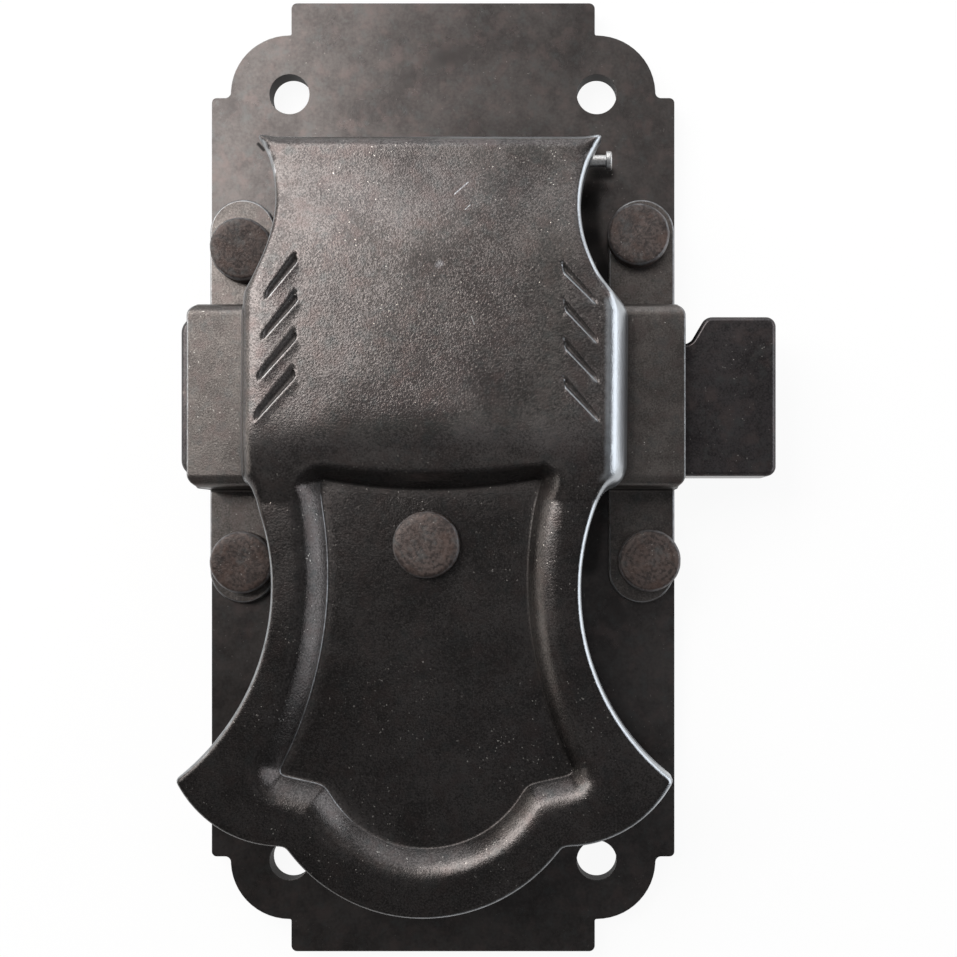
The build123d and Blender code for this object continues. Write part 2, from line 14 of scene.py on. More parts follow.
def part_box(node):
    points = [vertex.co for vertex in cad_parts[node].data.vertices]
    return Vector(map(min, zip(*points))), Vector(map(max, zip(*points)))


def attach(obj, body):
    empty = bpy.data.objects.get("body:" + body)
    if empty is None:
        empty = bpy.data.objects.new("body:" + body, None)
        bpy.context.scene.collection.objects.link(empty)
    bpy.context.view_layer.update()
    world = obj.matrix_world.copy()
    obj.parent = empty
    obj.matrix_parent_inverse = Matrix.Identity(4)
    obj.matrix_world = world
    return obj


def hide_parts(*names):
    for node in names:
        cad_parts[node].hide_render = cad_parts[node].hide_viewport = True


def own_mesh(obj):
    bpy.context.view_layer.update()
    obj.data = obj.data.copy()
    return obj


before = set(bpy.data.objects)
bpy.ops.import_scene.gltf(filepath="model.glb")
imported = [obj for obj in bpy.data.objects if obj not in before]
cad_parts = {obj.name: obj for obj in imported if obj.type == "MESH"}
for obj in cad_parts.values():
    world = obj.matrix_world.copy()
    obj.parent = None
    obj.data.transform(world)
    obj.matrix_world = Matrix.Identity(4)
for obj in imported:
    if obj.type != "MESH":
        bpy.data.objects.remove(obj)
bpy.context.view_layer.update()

# Sizes are in millimetres and become metres in the meshes.
# A level is a height in front of the plate's front face.
MM = 0.001
PLATE_THICKNESS = 3.0
SCREWS = (24.3, 60.6)  # the screw holes' distance from the plate's middle, along X and Z
BORE_REACH = 3.5  # how far from a screw hole's middle the plate gets painted shade and no wear
TINY = 1e-6

# Names of the numbers that the meshes carry for their finishes.
WEAR = "wear"  # rubbed to bare steel
PAINTED_SHADE = "painted_shade"  # painted shade: darker and duller in holes, creases, slits and seams
REACH = "reach"  # distance from a rivet's middle
PAINTED_DIMMING = "painted_dimming"  # painted shade: the black darker below the lever's hump and near its top

log = logging.getLogger("cabinet_lock")
Colour = tuple[float, float, float]
Place = tuple[float, float]


class Body(Enum):
    """Bodies of the lock that pieces ride on."""

    BASE = "base"
    LEVER = "lever"
    BOLT = "bolt"


class Slot(Enum):
    """Finish slots of the record."""

    PLATE = "plate_steel"
    STRAP = "strap_steel"
    RIVET = "rivet_steel"
    LEVER = "lever_steel"
    BOLT = "bolt_steel"
    CAM = "cam_steel"
    PIN = "pin_steel"
    SPRING = "spring_steel"


class Field:
    """A socket of a node tree that is used as a number in Python maths."""

    def __init__(self, tree: "Tree", socket: bpy.types.NodeSocket) -> None:
        """Keeps the tree and the socket."""
        self.tree = tree
        self.socket = socket

    def __add__(self, other: "Field | float") -> "Field":
        """Sum of the two."""
        return self.tree.maths("ADD", self, other)

    def __sub__(self, other: "Field | float") -> "Field":
        """Difference of the two."""
        return self.tree.maths("SUBTRACT", self, other)

    def __rsub__(self, other: "Field | float") -> "Field":
        """Difference of the two, the other one first."""
        return self.tree.maths("SUBTRACT", other, self)

    def __mul__(self, other: "Field | float") -> "Field":
        """Product of the two."""
        return self.tree.maths("MULTIPLY", self, other)

    __radd__ = __add__
    __rmul__ = __mul__

    def above(self, start: float, end: float) -> "Field":
        """0 at start, 1 at end and smooth between them; start may be the larger one."""
        ends = {"Value": self, "From Min": start, "From Max": end}
        return self.tree.node("ShaderNodeMapRange", {"interpolation_type": "SMOOTHSTEP"}, ends)["Result"]


Input = Field | float | int | bool | Sequence[float] | bpy.types.ID


class Tree:
    """A node tree that is built by calls."""

    def __init__(self, nodes: bpy.types.NodeTree) -> None:
        """Keeps the tree and empties it."""
        self.tree = nodes
        nodes.nodes.clear()

    def node(self, kind: str, settings: dict | None = None, inputs: dict | None = None) -> dict[str, Field]:
        """Adds one node.

        Args:
            kind: The node's type.
            settings: Its properties, set first.
            inputs: Values or links of its sockets, by name or by number.

        Returns:
            Its outputs by name, as fields.
        """
        made = self.tree.nodes.new(kind)
        for name, value in (settings or {}).items():
            setattr(made, name, value)
        for name, value in (inputs or {}).items():
            self.join(made.inputs[name], value)
        outputs = {}
        for socket in made.outputs:
            if socket.enabled:
                outputs.setdefault(socket.name, Field(self, socket))
        return outputs

    def join(self, socket: bpy.types.NodeSocket, value: Input) -> None:
        """Links a field to a socket, or sets the socket's value.

        Args:
            socket: The input.
            value: A field, or a plain value; a colour may leave out its alpha.
        """
        if isinstance(value, Field):
            self.tree.links.new(value.socket, socket)
        elif socket.type == "RGBA" and len(value) == 3:
            socket.default_value = (*value, 1.0)
        else:
            socket.default_value = value

    def maths(self, operation: str, *values: "Field | float") -> Field:
        """One step of arithmetic on numbers."""
        return self.node("ShaderNodeMath", {"operation": operation}, dict(enumerate(values)))["Value"]

    def vector_maths(self, operation: str, inputs: dict) -> Field:
        """One step of arithmetic on vectors."""
        return self.node("ShaderNodeVectorMath", {"operation": operation}, inputs)["Vector"]

    def blend(self, factor: "Field | float", first: Input, second: Input) -> Field:
        """Colour between the first, at factor 0, and the second, at factor 1."""
        return self.node("ShaderNodeMix", {"data_type": "RGBA"}, {0: factor, 6: first, 7: second})["Result"]

    def attribute(self, name: str) -> Field:
        """Number that the mesh carries under this name, or 0."""
        return self.node("ShaderNodeAttribute", {"attribute_name": name})["Fac"]

    def noise(self, place: Field, size: float, detail: float = 3.0, turn: float = 0.0) -> Field:
        """Noise between 0 and 1.

        Args:
            place: Vector that it is read at.
            size: Size of its spots in millimetres.
            detail: How many finer layers it has.
            turn: Seed.

        Returns:
            Its value.
        """
        return self.node(
            "ShaderNodeTexNoise",
            {"noise_dimensions": "4D"},
            {"Vector": place, "W": turn, "Scale": 1 / (size * MM), "Detail": detail, "Roughness": 0.6},
        )["Fac"]


@dataclass(frozen=True)
class Mark:
    """Line or small spot on the front of a piece; sizes in millimetres."""

    start: Place
    finish: Place
    width: float
    strength: float


@dataclass(frozen=True)
class SteelFinish:
    """Steel that was blackened by heat and oil and is worn at its edges.

    Colours are linear and sizes are in millimetres. The black wanders between dark and light, with warm and
    cool patches. A share is how much of the surface, at most, shows a thing. turn is the finish's seed.
    """

    name: str
    dark: Colour = (0.042, 0.038, 0.037)
    light: Colour = (0.100, 0.092, 0.089)
    warm: Colour = (0.094, 0.075, 0.071)
    cool: Colour = (0.070, 0.074, 0.073)
    bare: Colour = (0.42, 0.44, 0.46)
    rust: Colour = (0.085, 0.034, 0.020)
    speck: Colour = (0.62, 0.60, 0.56)
    metallic: float = 0.85
    roughness: float = 0.30
    grain_size: float = 0.26
    grain_tone: float = 0.55
    grain_depth: float = 0.012
    cloud_size: float = 9.0
    speck_share: float = 0.2
    speck_size: float = 0.11
    speck_pitch: float = 1.5
    chip_depth: float = 0.010
    rust_share: float = 0.1
    ring_tone: float = 0.0
    marks: tuple[Mark, ...] = ()  # rubbed pale
    painted_shadows: tuple[Mark, ...] = ()  # painted shadows: darker patches where shadow falls
    painted_dimming: float = 0.58  # how much darker the black gets under the mesh's painted shade low on the lever and near its top
    turn: float = 0.0

    def material(self) -> bpy.types.Material:
        """Builds the finish as a node material.

        Returns:
            The material.
        """
        made = bpy.data.materials.new(self.name)
        made.use_nodes = True
        tree = Tree(made.node_tree)
        place = tree.node("ShaderNodeTexCoord")["Object"]
        cloud = tree.noise(place, self.cloud_size, 4.0, self.turn)
        patch = tree.noise(place, self.cloud_size / 5, 3.0, self.turn + 3)
        grain = tree.noise(place, self.grain_size, 1.0, self.turn + 5)
        painted_shade = tree.attribute(PAINTED_SHADE)
        tone = cloud * 0.5 + patch * 0.25 + grain * self.grain_tone - (0.375 + self.grain_tone / 2)
        if self.ring_tone:
            turned = tree.maths("SINE", tree.attribute(REACH) * 7.0 + patch * 9.0)
            tone = tone + turned * (self.ring_tone * cloud.above(0.42, 0.68))
        colour = self._black(tree, place, tone)
        # Painted shade: darker where the mesh marks holes, creases, slits and seams.
        colour = tree.blend(painted_shade * 0.75, colour, self._darker(0.25))
        # Painted shadows: each mark darkens the colour where shadow falls.
        for mark in self.painted_shadows:
            colour = tree.blend(self._mark(tree, place, mark), colour, self._darker(0.12))
        rough_wear = tree.noise(place, 1.1, 4.0, self.turn + 17)
        rubbed = (tree.attribute(WEAR) * (0.62 + rough_wear * 0.76)).above(0.35, 1.05)
        for mark in self.marks:
            rubbed = tree.maths("MAXIMUM", rubbed, self._mark(tree, place, mark) * (0.3 + grain * 1.2))
        colour = tree.blend(rubbed, colour, self.bare)
        specks = self._specks(tree, place)
        colour = tree.blend(specks, colour, self.speck)
        pits = tree.noise(place, self.grain_size * 3.1, 2.0, self.turn + 23)
        height = (grain + pits * 0.5) * (self.grain_depth * MM) + specks * (self.chip_depth * MM)
        bump = tree.node("ShaderNodeBump", None, {"Height": height, "Strength": 1.0, "Distance": 1.0})
        shader = tree.node("ShaderNodeBsdfPrincipled", None, {
            "Base Color": colour,
            "Metallic": self.metallic + (1 - self.metallic) * rubbed,
            "Roughness": self.roughness + (cloud - 0.5) * 0.08 + painted_shade * 0.35 + rubbed * 0.04,
            "Normal": bump["Normal"],
        })
        tree.node("ShaderNodeOutputMaterial", None, {"Surface": shader["BSDF"]})
        return made

    def _darker(self, share: float) -> Colour:
        """The dark colour with this share of its light."""
        return tuple(channel * share for channel in self.dark)

    def _black(self, tree: Tree, place: Field, tone: Field) -> Field:
        """Colour of the black itself, with the painted shade low on the lever, before the other painted
        shade and wear.

        Args:
            tree: The material's tree.
            place: Object coordinates.
            tone: How light it is, about 0.

        Returns:
            The colour.
        """
        colour = tree.blend(tone.above(-0.16, 0.16), self.dark, self.light)
        reddish = tree.noise(place, 2.6, 3.0, self.turn + 41).above(0.47, 0.70)
        colour = tree.blend(reddish * 0.55, colour, self.warm)
        greenish = tree.noise(place, 1.7, 3.0, self.turn + 47).above(0.50, 0.72)
        colour = tree.blend(greenish * 0.5, colour, self.cool)
        rusty = tree.noise(place, self.cloud_size * 0.6, 5.0, self.turn + 11).above(0.60, 0.76)
        colour = tree.blend(rusty * self.rust_share, colour, self.rust)
        # Painted shade: the black is darker where the mesh carries this shade.
        kept = 1.0 - tree.attribute(PAINTED_DIMMING) * self.painted_dimming
        return tree.vector_maths("SCALE", {0: colour, "Scale": kept})

    def _specks(self, tree: Tree, place: Field) -> Field:
        """Mask of the small pale points where the black has chipped off.

        Args:
            tree: The material's tree.
            place: Object coordinates.

        Returns:
            1 on each point and 0 elsewhere.
        """
        scale = 1 / (self.speck_pitch * MM)
        cells = tree.node("ShaderNodeTexVoronoi", {"feature": "F1"}, {"Vector": place, "Scale": scale})
        reach = self.speck_size / self.speck_pitch
        near = cells["Distance"].above(reach, 0.4 * reach)
        pick = tree.node("ShaderNodeSeparateColor", None, {"Color": cells["Color"]})["Red"]
        chosen = pick.above(1 - self.speck_share, 1 - self.speck_share + 0.05)
        crowd = tree.noise(place, 11.0, 3.0, self.turn + 31).above(0.42, 0.60)
        dust = tree.noise(place, 0.30, 0.0, self.turn + 37).above(0.76, 0.84)
        points = near * chosen * (0.25 + crowd * 0.75)
        return tree.maths("MAXIMUM", points, dust * crowd * self.speck_share * 2.0)

    @staticmethod
    def _mark(tree: Tree, place: Field, mark: Mark) -> Field:
        """Mask of one mark.

        Args:
            tree: The material's tree.
            place: Object coordinates.
            mark: The line or spot.

        Returns:
            Its strength at its middle, and 0 beyond its width.
        """
        parts = tree.node("ShaderNodeSeparateXYZ", None, {"Vector": place})
        across = parts["X"] * (1 / MM) - mark.start[0]
        upward = parts["Z"] * (1 / MM) - mark.start[1]
        run = (mark.finish[0] - mark.start[0], mark.finish[1] - mark.start[1])
        squared = max(run[0] ** 2 + run[1] ** 2, 1e-3)
        along = (across * run[0] + upward * run[1]) * (1 / squared)
        share = tree.node("ShaderNodeClamp", None, {"Value": along})["Result"]
        aside = across - share * run[0]
        above = upward - share * run[1]
        gap = tree.maths("SQRT", aside * aside + above * above)
        front = parts["Y"].above(-2.0 * MM, -2.8 * MM)
        return gap.above(mark.width, mark.width * 0.25) * mark.strength * front


def new_object(name: str, mesh: bpy.types.Mesh, material: bpy.types.Material) -> bpy.types.Object:
    """Puts a mesh in the scene at the origin.

    Args:
        name: The object's name.
        mesh: Its mesh.
        material: Its only material.

    Returns:
        The object.
    """
    mesh.materials.clear()
    mesh.materials.append(material)
    piece = bpy.data.objects.new(name, mesh)
    bpy.context.scene.collection.objects.link(piece)
    return piece


def place_piece(piece: bpy.types.Object, body: Body, nodes: Sequence[str]) -> bpy.types.Object:
    """Ties a finished piece to its body and the nodes that it stands for.

    Args:
        piece: The finished object.
        body: What it moves with.
        nodes: Names of the nodes that it replaces.

    Returns:
        The same piece.
    """
    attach(piece, body.value)
    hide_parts(*nodes)
    log.info("%s: %d faces on %s", piece.name, len(piece.data.polygons), body.value)
    return piece


def plain_mesh(carrier: bpy.types.Object) -> bpy.types.Mesh:
    """Applies an object's modifiers.

    Args:
        carrier: The object; it is removed.

    Returns:
        Its evaluated mesh.
    """
    graph = bpy.context.evaluated_depsgraph_get()
    mesh = bpy.data.meshes.new_from_object(carrier.evaluated_get(graph))
    bpy.data.objects.remove(carrier)
    return mesh


def geometry_tree(name: str, kinds: dict[str, str]) -> tuple[Tree, dict[str, str]]:
    """Makes an empty geometry tree with named inputs.

    Args:
        name: The tree's name.
        kinds: Each input's type, by its name.

    Returns:
        The tree, and its inputs' identifiers by name.
    """
    tree = Tree(bpy.data.node_groups.new(name, "GeometryNodeTree"))
    face = tree.tree.interface
    sockets = {
        title: face.new_socket(title, in_out="INPUT", socket_type="NodeSocket" + kind).identifier
        for title, kind in kinds.items()
    }
    face.new_socket("Geometry", in_out="OUTPUT", socket_type="NodeSocketGeometry")
    return tree, sockets


def grown_mesh(
    carrier: bpy.types.Object, tree: Tree, sockets: dict[str, str], values: dict
) -> bpy.types.Mesh:
    """Runs a geometry tree on a carrier.

    Args:
        carrier: Object that the tree works on; it is removed.
        tree: The geometry tree.
        sockets: Its inputs' identifiers by name.
        values: Its inputs' values by name.

    Returns:
        The result as a plain mesh.
    """
    modifier = carrier.modifiers.new(carrier.name, "NODES")
    modifier.node_group = tree.tree
    for name, value in values.items():
        modifier[sockets[name]] = value
    return plain_mesh(carrier)


def close_geometry(tree: Tree, geometry: Field, material: bpy.types.Material) -> None:
    """Realizes a geometry tree's instances, sets the material and joins the output.

    Args:
        tree: The geometry tree.
        geometry: What it has made.
        material: The finish.
    """
    whole = tree.node("GeometryNodeRealizeInstances", None, {"Geometry": geometry})["Geometry"]
    dressed = tree.node("GeometryNodeSetMaterial", None, {"Geometry": whole, "Material": material})
    tree.node("NodeGroupOutput", None, {"Geometry": dressed["Geometry"]})


def smooth_by_angle(mesh: bpy.types.Mesh, degrees: float = 38.0) -> None:
    """Shades a mesh smooth.

    Args:
        mesh: The mesh.
        degrees: Edges that turn by more stay sharp.
    """
    mesh.polygons.foreach_set("use_smooth", [True] * len(mesh.polygons))
    body = bmesh.new()
    body.from_mesh(mesh)
    for edge in body.edges:
        turn = edge.calc_face_angle(math.pi) if len(edge.link_faces) == 2 else math.pi
        edge.smooth = turn < math.radians(degrees)
    body.to_mesh(mesh)
    body.free()


def set_attribute(mesh: bpy.types.Mesh, name: str, values: np.ndarray) -> None:
    """Writes one number for each vertex."""
    attribute = mesh.attributes.get(name) or mesh.attributes.new(name, "FLOAT", "POINT")
    attribute.data.foreach_set("value", np.asarray(values, dtype=np.float32))


def flat_faces_kept(mesh: bpy.types.Mesh) -> bpy.types.Mesh:
    """Weights a mesh's normals by area, so that large flat faces shade flat.

    Args:
        mesh: The mesh.

    Returns:
        A copy with such normals.
    """
    carrier = bpy.data.objects.new("carrier", mesh)
    bpy.context.scene.collection.objects.link(carrier)
    weighted = carrier.modifiers.new("weighted", "WEIGHTED_NORMAL")
    weighted.keep_sharp = True
    weighted.weight = 90
    return plain_mesh(carrier)


def sharp_edges(body: bmesh.types.BMesh, degrees: float) -> list[bmesh.types.BMEdge]:
    """Edges between two faces that turn by more than the angle."""
    turn = math.radians(degrees)
    return [edge for edge in body.edges if len(edge.link_faces) == 2 and edge.calc_face_angle() > turn]


def round_edges(
    body: bmesh.types.BMesh, edges: Sequence[bmesh.types.BMEdge], width: float, segments: int,
    held: bool = True,
) -> list[bmesh.types.BMFace]:
    """Rounds some edges of a body.

    Args:
        body: The body.
        edges: Its edges.
        width: Width of the rounding in millimetres.
        segments: Faces across the rounding.
        held: Keeps the rounding narrower than the shortest edges beside it.

    Returns:
        The rounding's faces.
    """
    return bmesh.ops.bevel(
        body, geom=edges, offset=width * MM, offset_type="OFFSET", segments=segments, profile=0.5,
        affect="EDGES", clamp_overlap=held,
    )["faces"]


def softened_copy(
    node: str, width: float, bores: Sequence[tuple[float, float, float]] = (), corner: float = 0.0,
    worn: float = 0.9, held: bool = True, angle: float = 35.0,
) -> bpy.types.Mesh:
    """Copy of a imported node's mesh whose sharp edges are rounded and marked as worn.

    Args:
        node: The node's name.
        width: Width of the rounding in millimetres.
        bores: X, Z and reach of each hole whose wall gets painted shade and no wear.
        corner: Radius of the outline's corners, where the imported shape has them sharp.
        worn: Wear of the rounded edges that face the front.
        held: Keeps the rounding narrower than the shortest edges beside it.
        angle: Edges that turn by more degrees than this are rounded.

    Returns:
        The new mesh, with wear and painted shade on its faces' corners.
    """
    body = bmesh.new()
    body.from_mesh(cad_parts[node].data)
    bmesh.ops.remove_doubles(body, verts=body.verts, dist=1e-7)
    bmesh.ops.dissolve_limit(body, angle_limit=math.radians(0.4), verts=body.verts, edges=body.edges)
    if corner:
        upright = [
            edge for edge in sharp_edges(body, angle)
            if abs((edge.verts[0].co - edge.verts[1].co).normalized().y) > 0.99
        ]
        for edge in upright:
            round_edges(body, [edge], corner, 6)
    sharp = sharp_edges(body, angle)
    wear = body.loops.layers.float.new(WEAR)
    painted_shade = body.loops.layers.float.new(PAINTED_SHADE)
    edging = set(round_edges(body, sharp, width, 3, held))
    body.normal_update()
    # Rounded edges are worn, most where they face the front; a hole's walls get painted shade.
    for face in body.faces:
        middle = face.calc_center_median() / MM
        in_bore = any(math.dist((middle.x, middle.z), (x, z)) < radius for x, z, radius in bores)
        faces_front = face.normal.y < -0.2 and face.normal.z > -0.6
        for loop in face.loops:
            loop[wear] = (worn if faces_front else 0.1) if face in edging and not in_bore else 0.0
            loop[painted_shade] = 1.0 if in_bore and face not in edging else 0.0
    mesh = bpy.data.meshes.new(node)
    body.to_mesh(mesh)
    body.free()
    smooth_by_angle(mesh)
    return flat_faces_kept(mesh)


def lathe(name: str, profile: Sequence[Place], count: int = 64) -> bpy.types.Mesh:
    """Closed mesh turned about the Y axis.

    Args:
        name: The mesh's name.
        profile: Radius and level of each point, in millimetres, from the axis to the axis.
        count: Faces around.

    Returns:
        The mesh, with level 0 at y = 0 and its front at -Y.
    """
    body = bmesh.new()
    rings = []
    for radius, height in profile:
        if radius < TINY:
            rings.append([body.verts.new((0, -height * MM, 0))])
            continue
        turns = [2 * math.pi * step / count for step in range(count)]
        ring = [(radius * math.cos(turn) * MM, radius * math.sin(turn) * MM) for turn in turns]
        rings.append([body.verts.new((x, -height * MM, z)) for x, z in ring])
    for first, second in zip(rings, rings[1:]):
        for step in range(count):
            after = (step + 1) % count
            corners = [
                first[step % len(first)], first[after % len(first)],
                second[after % len(second)], second[step % len(second)],
            ]
            corners = list(dict.fromkeys(corners))
            if len(corners) > 2:
                body.faces.new(corners)
    bmesh.ops.recalc_face_normals(body, faces=body.faces)
    mesh = bpy.data.meshes.new(name)
    body.to_mesh(mesh)
    body.free()
    return mesh


@dataclass(frozen=True)
class Lamp:
    """Soft rectangular lamp; sizes in metres, power in watts."""

    name: str
    place: tuple[float, float, float]
    aim: tuple[float, float, float]
    width: float
    height: float
    power: float
    colour: Colour

    def build(self) -> None:
        """Puts the lamp in the scene."""
        data = bpy.data.lights.new(self.name, "AREA")
        data.shape = "RECTANGLE"
        data.size = self.width
        data.size_y = self.height
        data.energy = self.power
        data.color = self.colour
        lamp = bpy.data.objects.new(self.name, data)
        lamp.location = self.place
        lamp.rotation_euler = (Vector(self.aim) - Vector(self.place)).to_track_quat("-Z", "Y").to_euler()
        bpy.context.scene.collection.objects.link(lamp)


# The key lamp stands to the left and rather high: flat faces mirror it only near the top left.
LAMPS = (
    Lamp("key", (-0.575, -0.50, 0.38), (-0.575, 0.0, 0.38), 0.93, 0.64, 10.8, (1.0, 0.97, 0.95)),
    Lamp("ceiling", (0.04, -0.52, 0.32), (0.04, 0.0, 0.32), 0.60, 0.40, 0.50, (1.0, 0.965, 0.95)),
    Lamp("overhead", (0.0, -0.20, 0.45), (0.0, -0.20, 0.0), 0.60, 0.50, 1.5, (0.95, 0.97, 1.0)),
    Lamp("right_window", (0.50, -0.13, 0.05), (0.0, 0.0, 0.0), 0.5, 0.7, 2.6, (0.92, 0.955, 1.0)),
    Lamp("left_window", (-0.50, -0.02, 0.05), (0.0, 0.0, 0.0), 0.4, 0.6, 1.1, (1.0, 0.96, 0.90)),
    Lamp("floor", (0.0, -0.35, -0.40), (0.0, -0.08, 0.0), 0.60, 0.40, 0.15, (1.0, 0.98, 0.96)),
    Lamp("room", (0.12, -0.55, -0.10), (0.12, 0.0, -0.10), 0.40, 0.25, 0.06, (0.96, 0.97, 1.0)),
)


@dataclass
class Studio:
    """Pale wall behind the plate, soft lights and the camera."""

    scale: float = 0.1582  # millimetres at the plate's front for each pixel of the photograph
    picture: int = 957
    distance: float = 200.0  # from the plate's front
    camera_x: float = 20.7
    camera_z: float = -9.3
    centre_x: float = 5.6  # middle of the picture at the plate's front
    centre_z: float = -0.2
    sensor: float = 36.0
    wall_gap: float = 0.6
    wall_size: float = 4.0  # metres
    wall_glow: float = 0.93  # share of its white that takes no shadow
    white: Colour = (1.0, 1.0, 1.0)
    dim: Colour = (0.93, 0.95, 1.0)
    dim_strength: float = 0.08

    def build(self) -> None:
        """Makes the camera, the wall, the world and the lights."""
        self._camera()
        self._wall()
        self._world()
        for lamp in LAMPS:
            lamp.build()
        bpy.context.scene.view_settings.view_transform = "Standard"

    def _camera(self) -> None:
        """Camera square to the plate, with the small shift of the photograph's framing."""
        width = self.scale * self.picture
        data = bpy.data.cameras.new("camera")
        data.sensor_width = self.sensor
        data.lens = self.sensor * self.distance / width
        data.shift_x = (self.centre_x - self.camera_x) / width
        data.shift_y = (self.centre_z - self.camera_z) / width
        data.clip_start = 0.01
        camera = bpy.data.objects.new("camera", data)
        camera.location = (
            self.camera_x * MM, -(self.distance + PLATE_THICKNESS) * MM, self.camera_z * MM
        )
        camera.rotation_euler = (math.pi / 2, 0, 0)
        bpy.context.scene.collection.objects.link(camera)
        bpy.context.scene.camera = camera

    def _wall(self) -> None:
        """White wall that shows a soft shadow; nothing of it is seen from behind."""
        half = self.wall_size / 2
        signs = ((-1, -1), (1, -1), (1, 1), (-1, 1))
        corners = [(across * half, self.wall_gap * MM, upward * half) for across, upward in signs]
        mesh = bpy.data.meshes.new("wall")
        mesh.from_pydata(corners, [], [(0, 1, 2, 3)])
        made = bpy.data.materials.new("wall_paint")
        made.use_nodes = True
        tree = Tree(made.node_tree)
        paths = tree.node("ShaderNodeLightPath")
        seen = tree.maths("MAXIMUM", paths["Is Camera Ray"], paths["Is Glossy Ray"])
        seen = tree.maths("MAXIMUM", seen, paths["Is Transmission Ray"])
        paint = tree.node("ShaderNodeBsdfDiffuse", None, {"Color": (0.85, 0.85, 0.85)})["BSDF"]
        glow = tree.node("ShaderNodeEmission", None, {"Color": self.white, "Strength": 1.0})["Emission"]
        lit = tree.node("ShaderNodeMixShader", None, {0: seen * self.wall_glow, 1: paint, 2: glow})["Shader"]
        clear = tree.node("ShaderNodeBsdfTransparent")["BSDF"]
        back = tree.node("ShaderNodeNewGeometry")["Backfacing"]
        face = tree.node("ShaderNodeMixShader", None, {0: back, 1: lit, 2: clear})["Shader"]
        tree.node("ShaderNodeOutputMaterial", None, {"Surface": face})
        new_object("wall", mesh, made)

    def _world(self) -> None:
        """White to the camera, dim to everything else."""
        world = bpy.data.worlds.new("room")
        world.use_nodes = True
        bpy.context.scene.world = world
        tree = Tree(world.node_tree)
        seen = tree.node("ShaderNodeLightPath")["Is Camera Ray"]
        room, white = (
            tree.node("ShaderNodeBackground", None, {"Color": colour, "Strength": strength})["Background"]
            for colour, strength in ((self.dim, self.dim_strength), (self.white, 1.0))
        )
        both = tree.node("ShaderNodeMixShader", None, {0: seen, 1: room, 2: white})["Shader"]
        tree.node("ShaderNodeOutputWorld", None, {"Surface": both})


def arc_through(first: Place, middle: Place, last: Place, step: float) -> np.ndarray:
    """Points along an arc.

    Args:
        first: Where it starts.
        middle: A place that it passes.
        last: Where it ends.
        step: Distance between neighbours.

    Returns:
        The points.
    """
    (ax, ay), (bx, by), (cx, cy) = first, middle, last
    d = 2 * (ax * (by - cy) + bx * (cy - ay) + cx * (ay - by))
    a2, b2, c2 = ax * ax + ay * ay, bx * bx + by * by, cx * cx + cy * cy
    ux = (a2 * (by - cy) + b2 * (cy - ay) + c2 * (ay - by)) / d
    uy = (a2 * (cx - bx) + b2 * (ax - cx) + c2 * (bx - ax)) / d
    radius = math.hypot(ax - ux, ay - uy)
    start, mid, end = (math.atan2(y - uy, x - ux) for x, y in (first, middle, last))
    turn = (end - start) % (2 * math.pi)
    if (mid - start) % (2 * math.pi) > turn:
        turn -= 2 * math.pi
    count = max(3, int(abs(turn) * radius / step))
    angles = start + turn * np.linspace(0, 1, count)
    return np.stack([ux + radius * np.cos(angles), uy + radius * np.sin(angles)], axis=1)


def straight(first: Place, last: Place, step: float) -> np.ndarray:
    """Points along a straight line."""
    count = max(2, int(math.dist(first, last) / step))
    return np.linspace(first, last, count)


def level_arc(bottom_z: float, end: Place, step: float) -> np.ndarray:
    """Points along an arc that is level where it leaves the centre line.

    Args:
        bottom_z: Where it leaves the centre line.
        end: Where it ends, higher up.
        step: Distance between neighbours.

    Returns:
        The points.
    """
    drop = end[1] - bottom_z
    radius = (end[0] ** 2 + drop**2) / (2 * drop)
    half = math.asin(min(1.0, end[0] / radius)) / 2
    middle = (radius * math.sin(half), bottom_z + radius * (1 - math.cos(half)))
    return arc_through((0, bottom_z), middle, end, step)


def closed_loop(half: Sequence[np.ndarray], spacing: float, rounding: float) -> np.ndarray:
    """Mirrors a right half into a closed loop, evens its points out and rounds its corners.

    Args:
        half: Runs of points up the right side, from the centre line's foot to its top.
        spacing: Distance between neighbours in the result.
        rounding: Reach of the corner rounding along the loop.

    Returns:
        The loop's points, anticlockwise seen from the front.
    """
    right = np.concatenate(half)
    left = right[::-1] * (-1, 1)
    path = np.concatenate([right, left[1:-1]])
    path = path[np.r_[True, np.linalg.norm(np.diff(path, axis=0), axis=1) > TINY]]
    shut = np.concatenate([path, path[:1]])
    run = np.r_[0, np.cumsum(np.linalg.norm(np.diff(shut, axis=0), axis=1))]
    count = int(run[-1] / spacing)
    even = np.linspace(0, run[-1], count, endpoint=False)
    loop = np.stack([np.interp(even, run, shut[:, axis]) for axis in (0, 1)], axis=1)
    reach = max(1, int(rounding / spacing))
    kernel = np.hanning(2 * reach + 3)[1:-1]
    kernel /= kernel.sum()
    wrapped = np.concatenate([loop[-reach:], loop, loop[:reach]])
    return np.stack([np.convolve(wrapped[:, axis], kernel, "valid") for axis in (0, 1)], axis=1)


def inward_normals(loop: np.ndarray) -> np.ndarray:
    """Finds the directions to a loop's inside.

    Args:
        loop: Its points, anticlockwise.

    Returns:
        A unit vector for each point.
    """
    along = np.roll(loop, -1, axis=0) - np.roll(loop, 1, axis=0)
    along /= np.linalg.norm(along, axis=1, keepdims=True)
    return np.stack([-along[:, 1], along[:, 0]], axis=1)


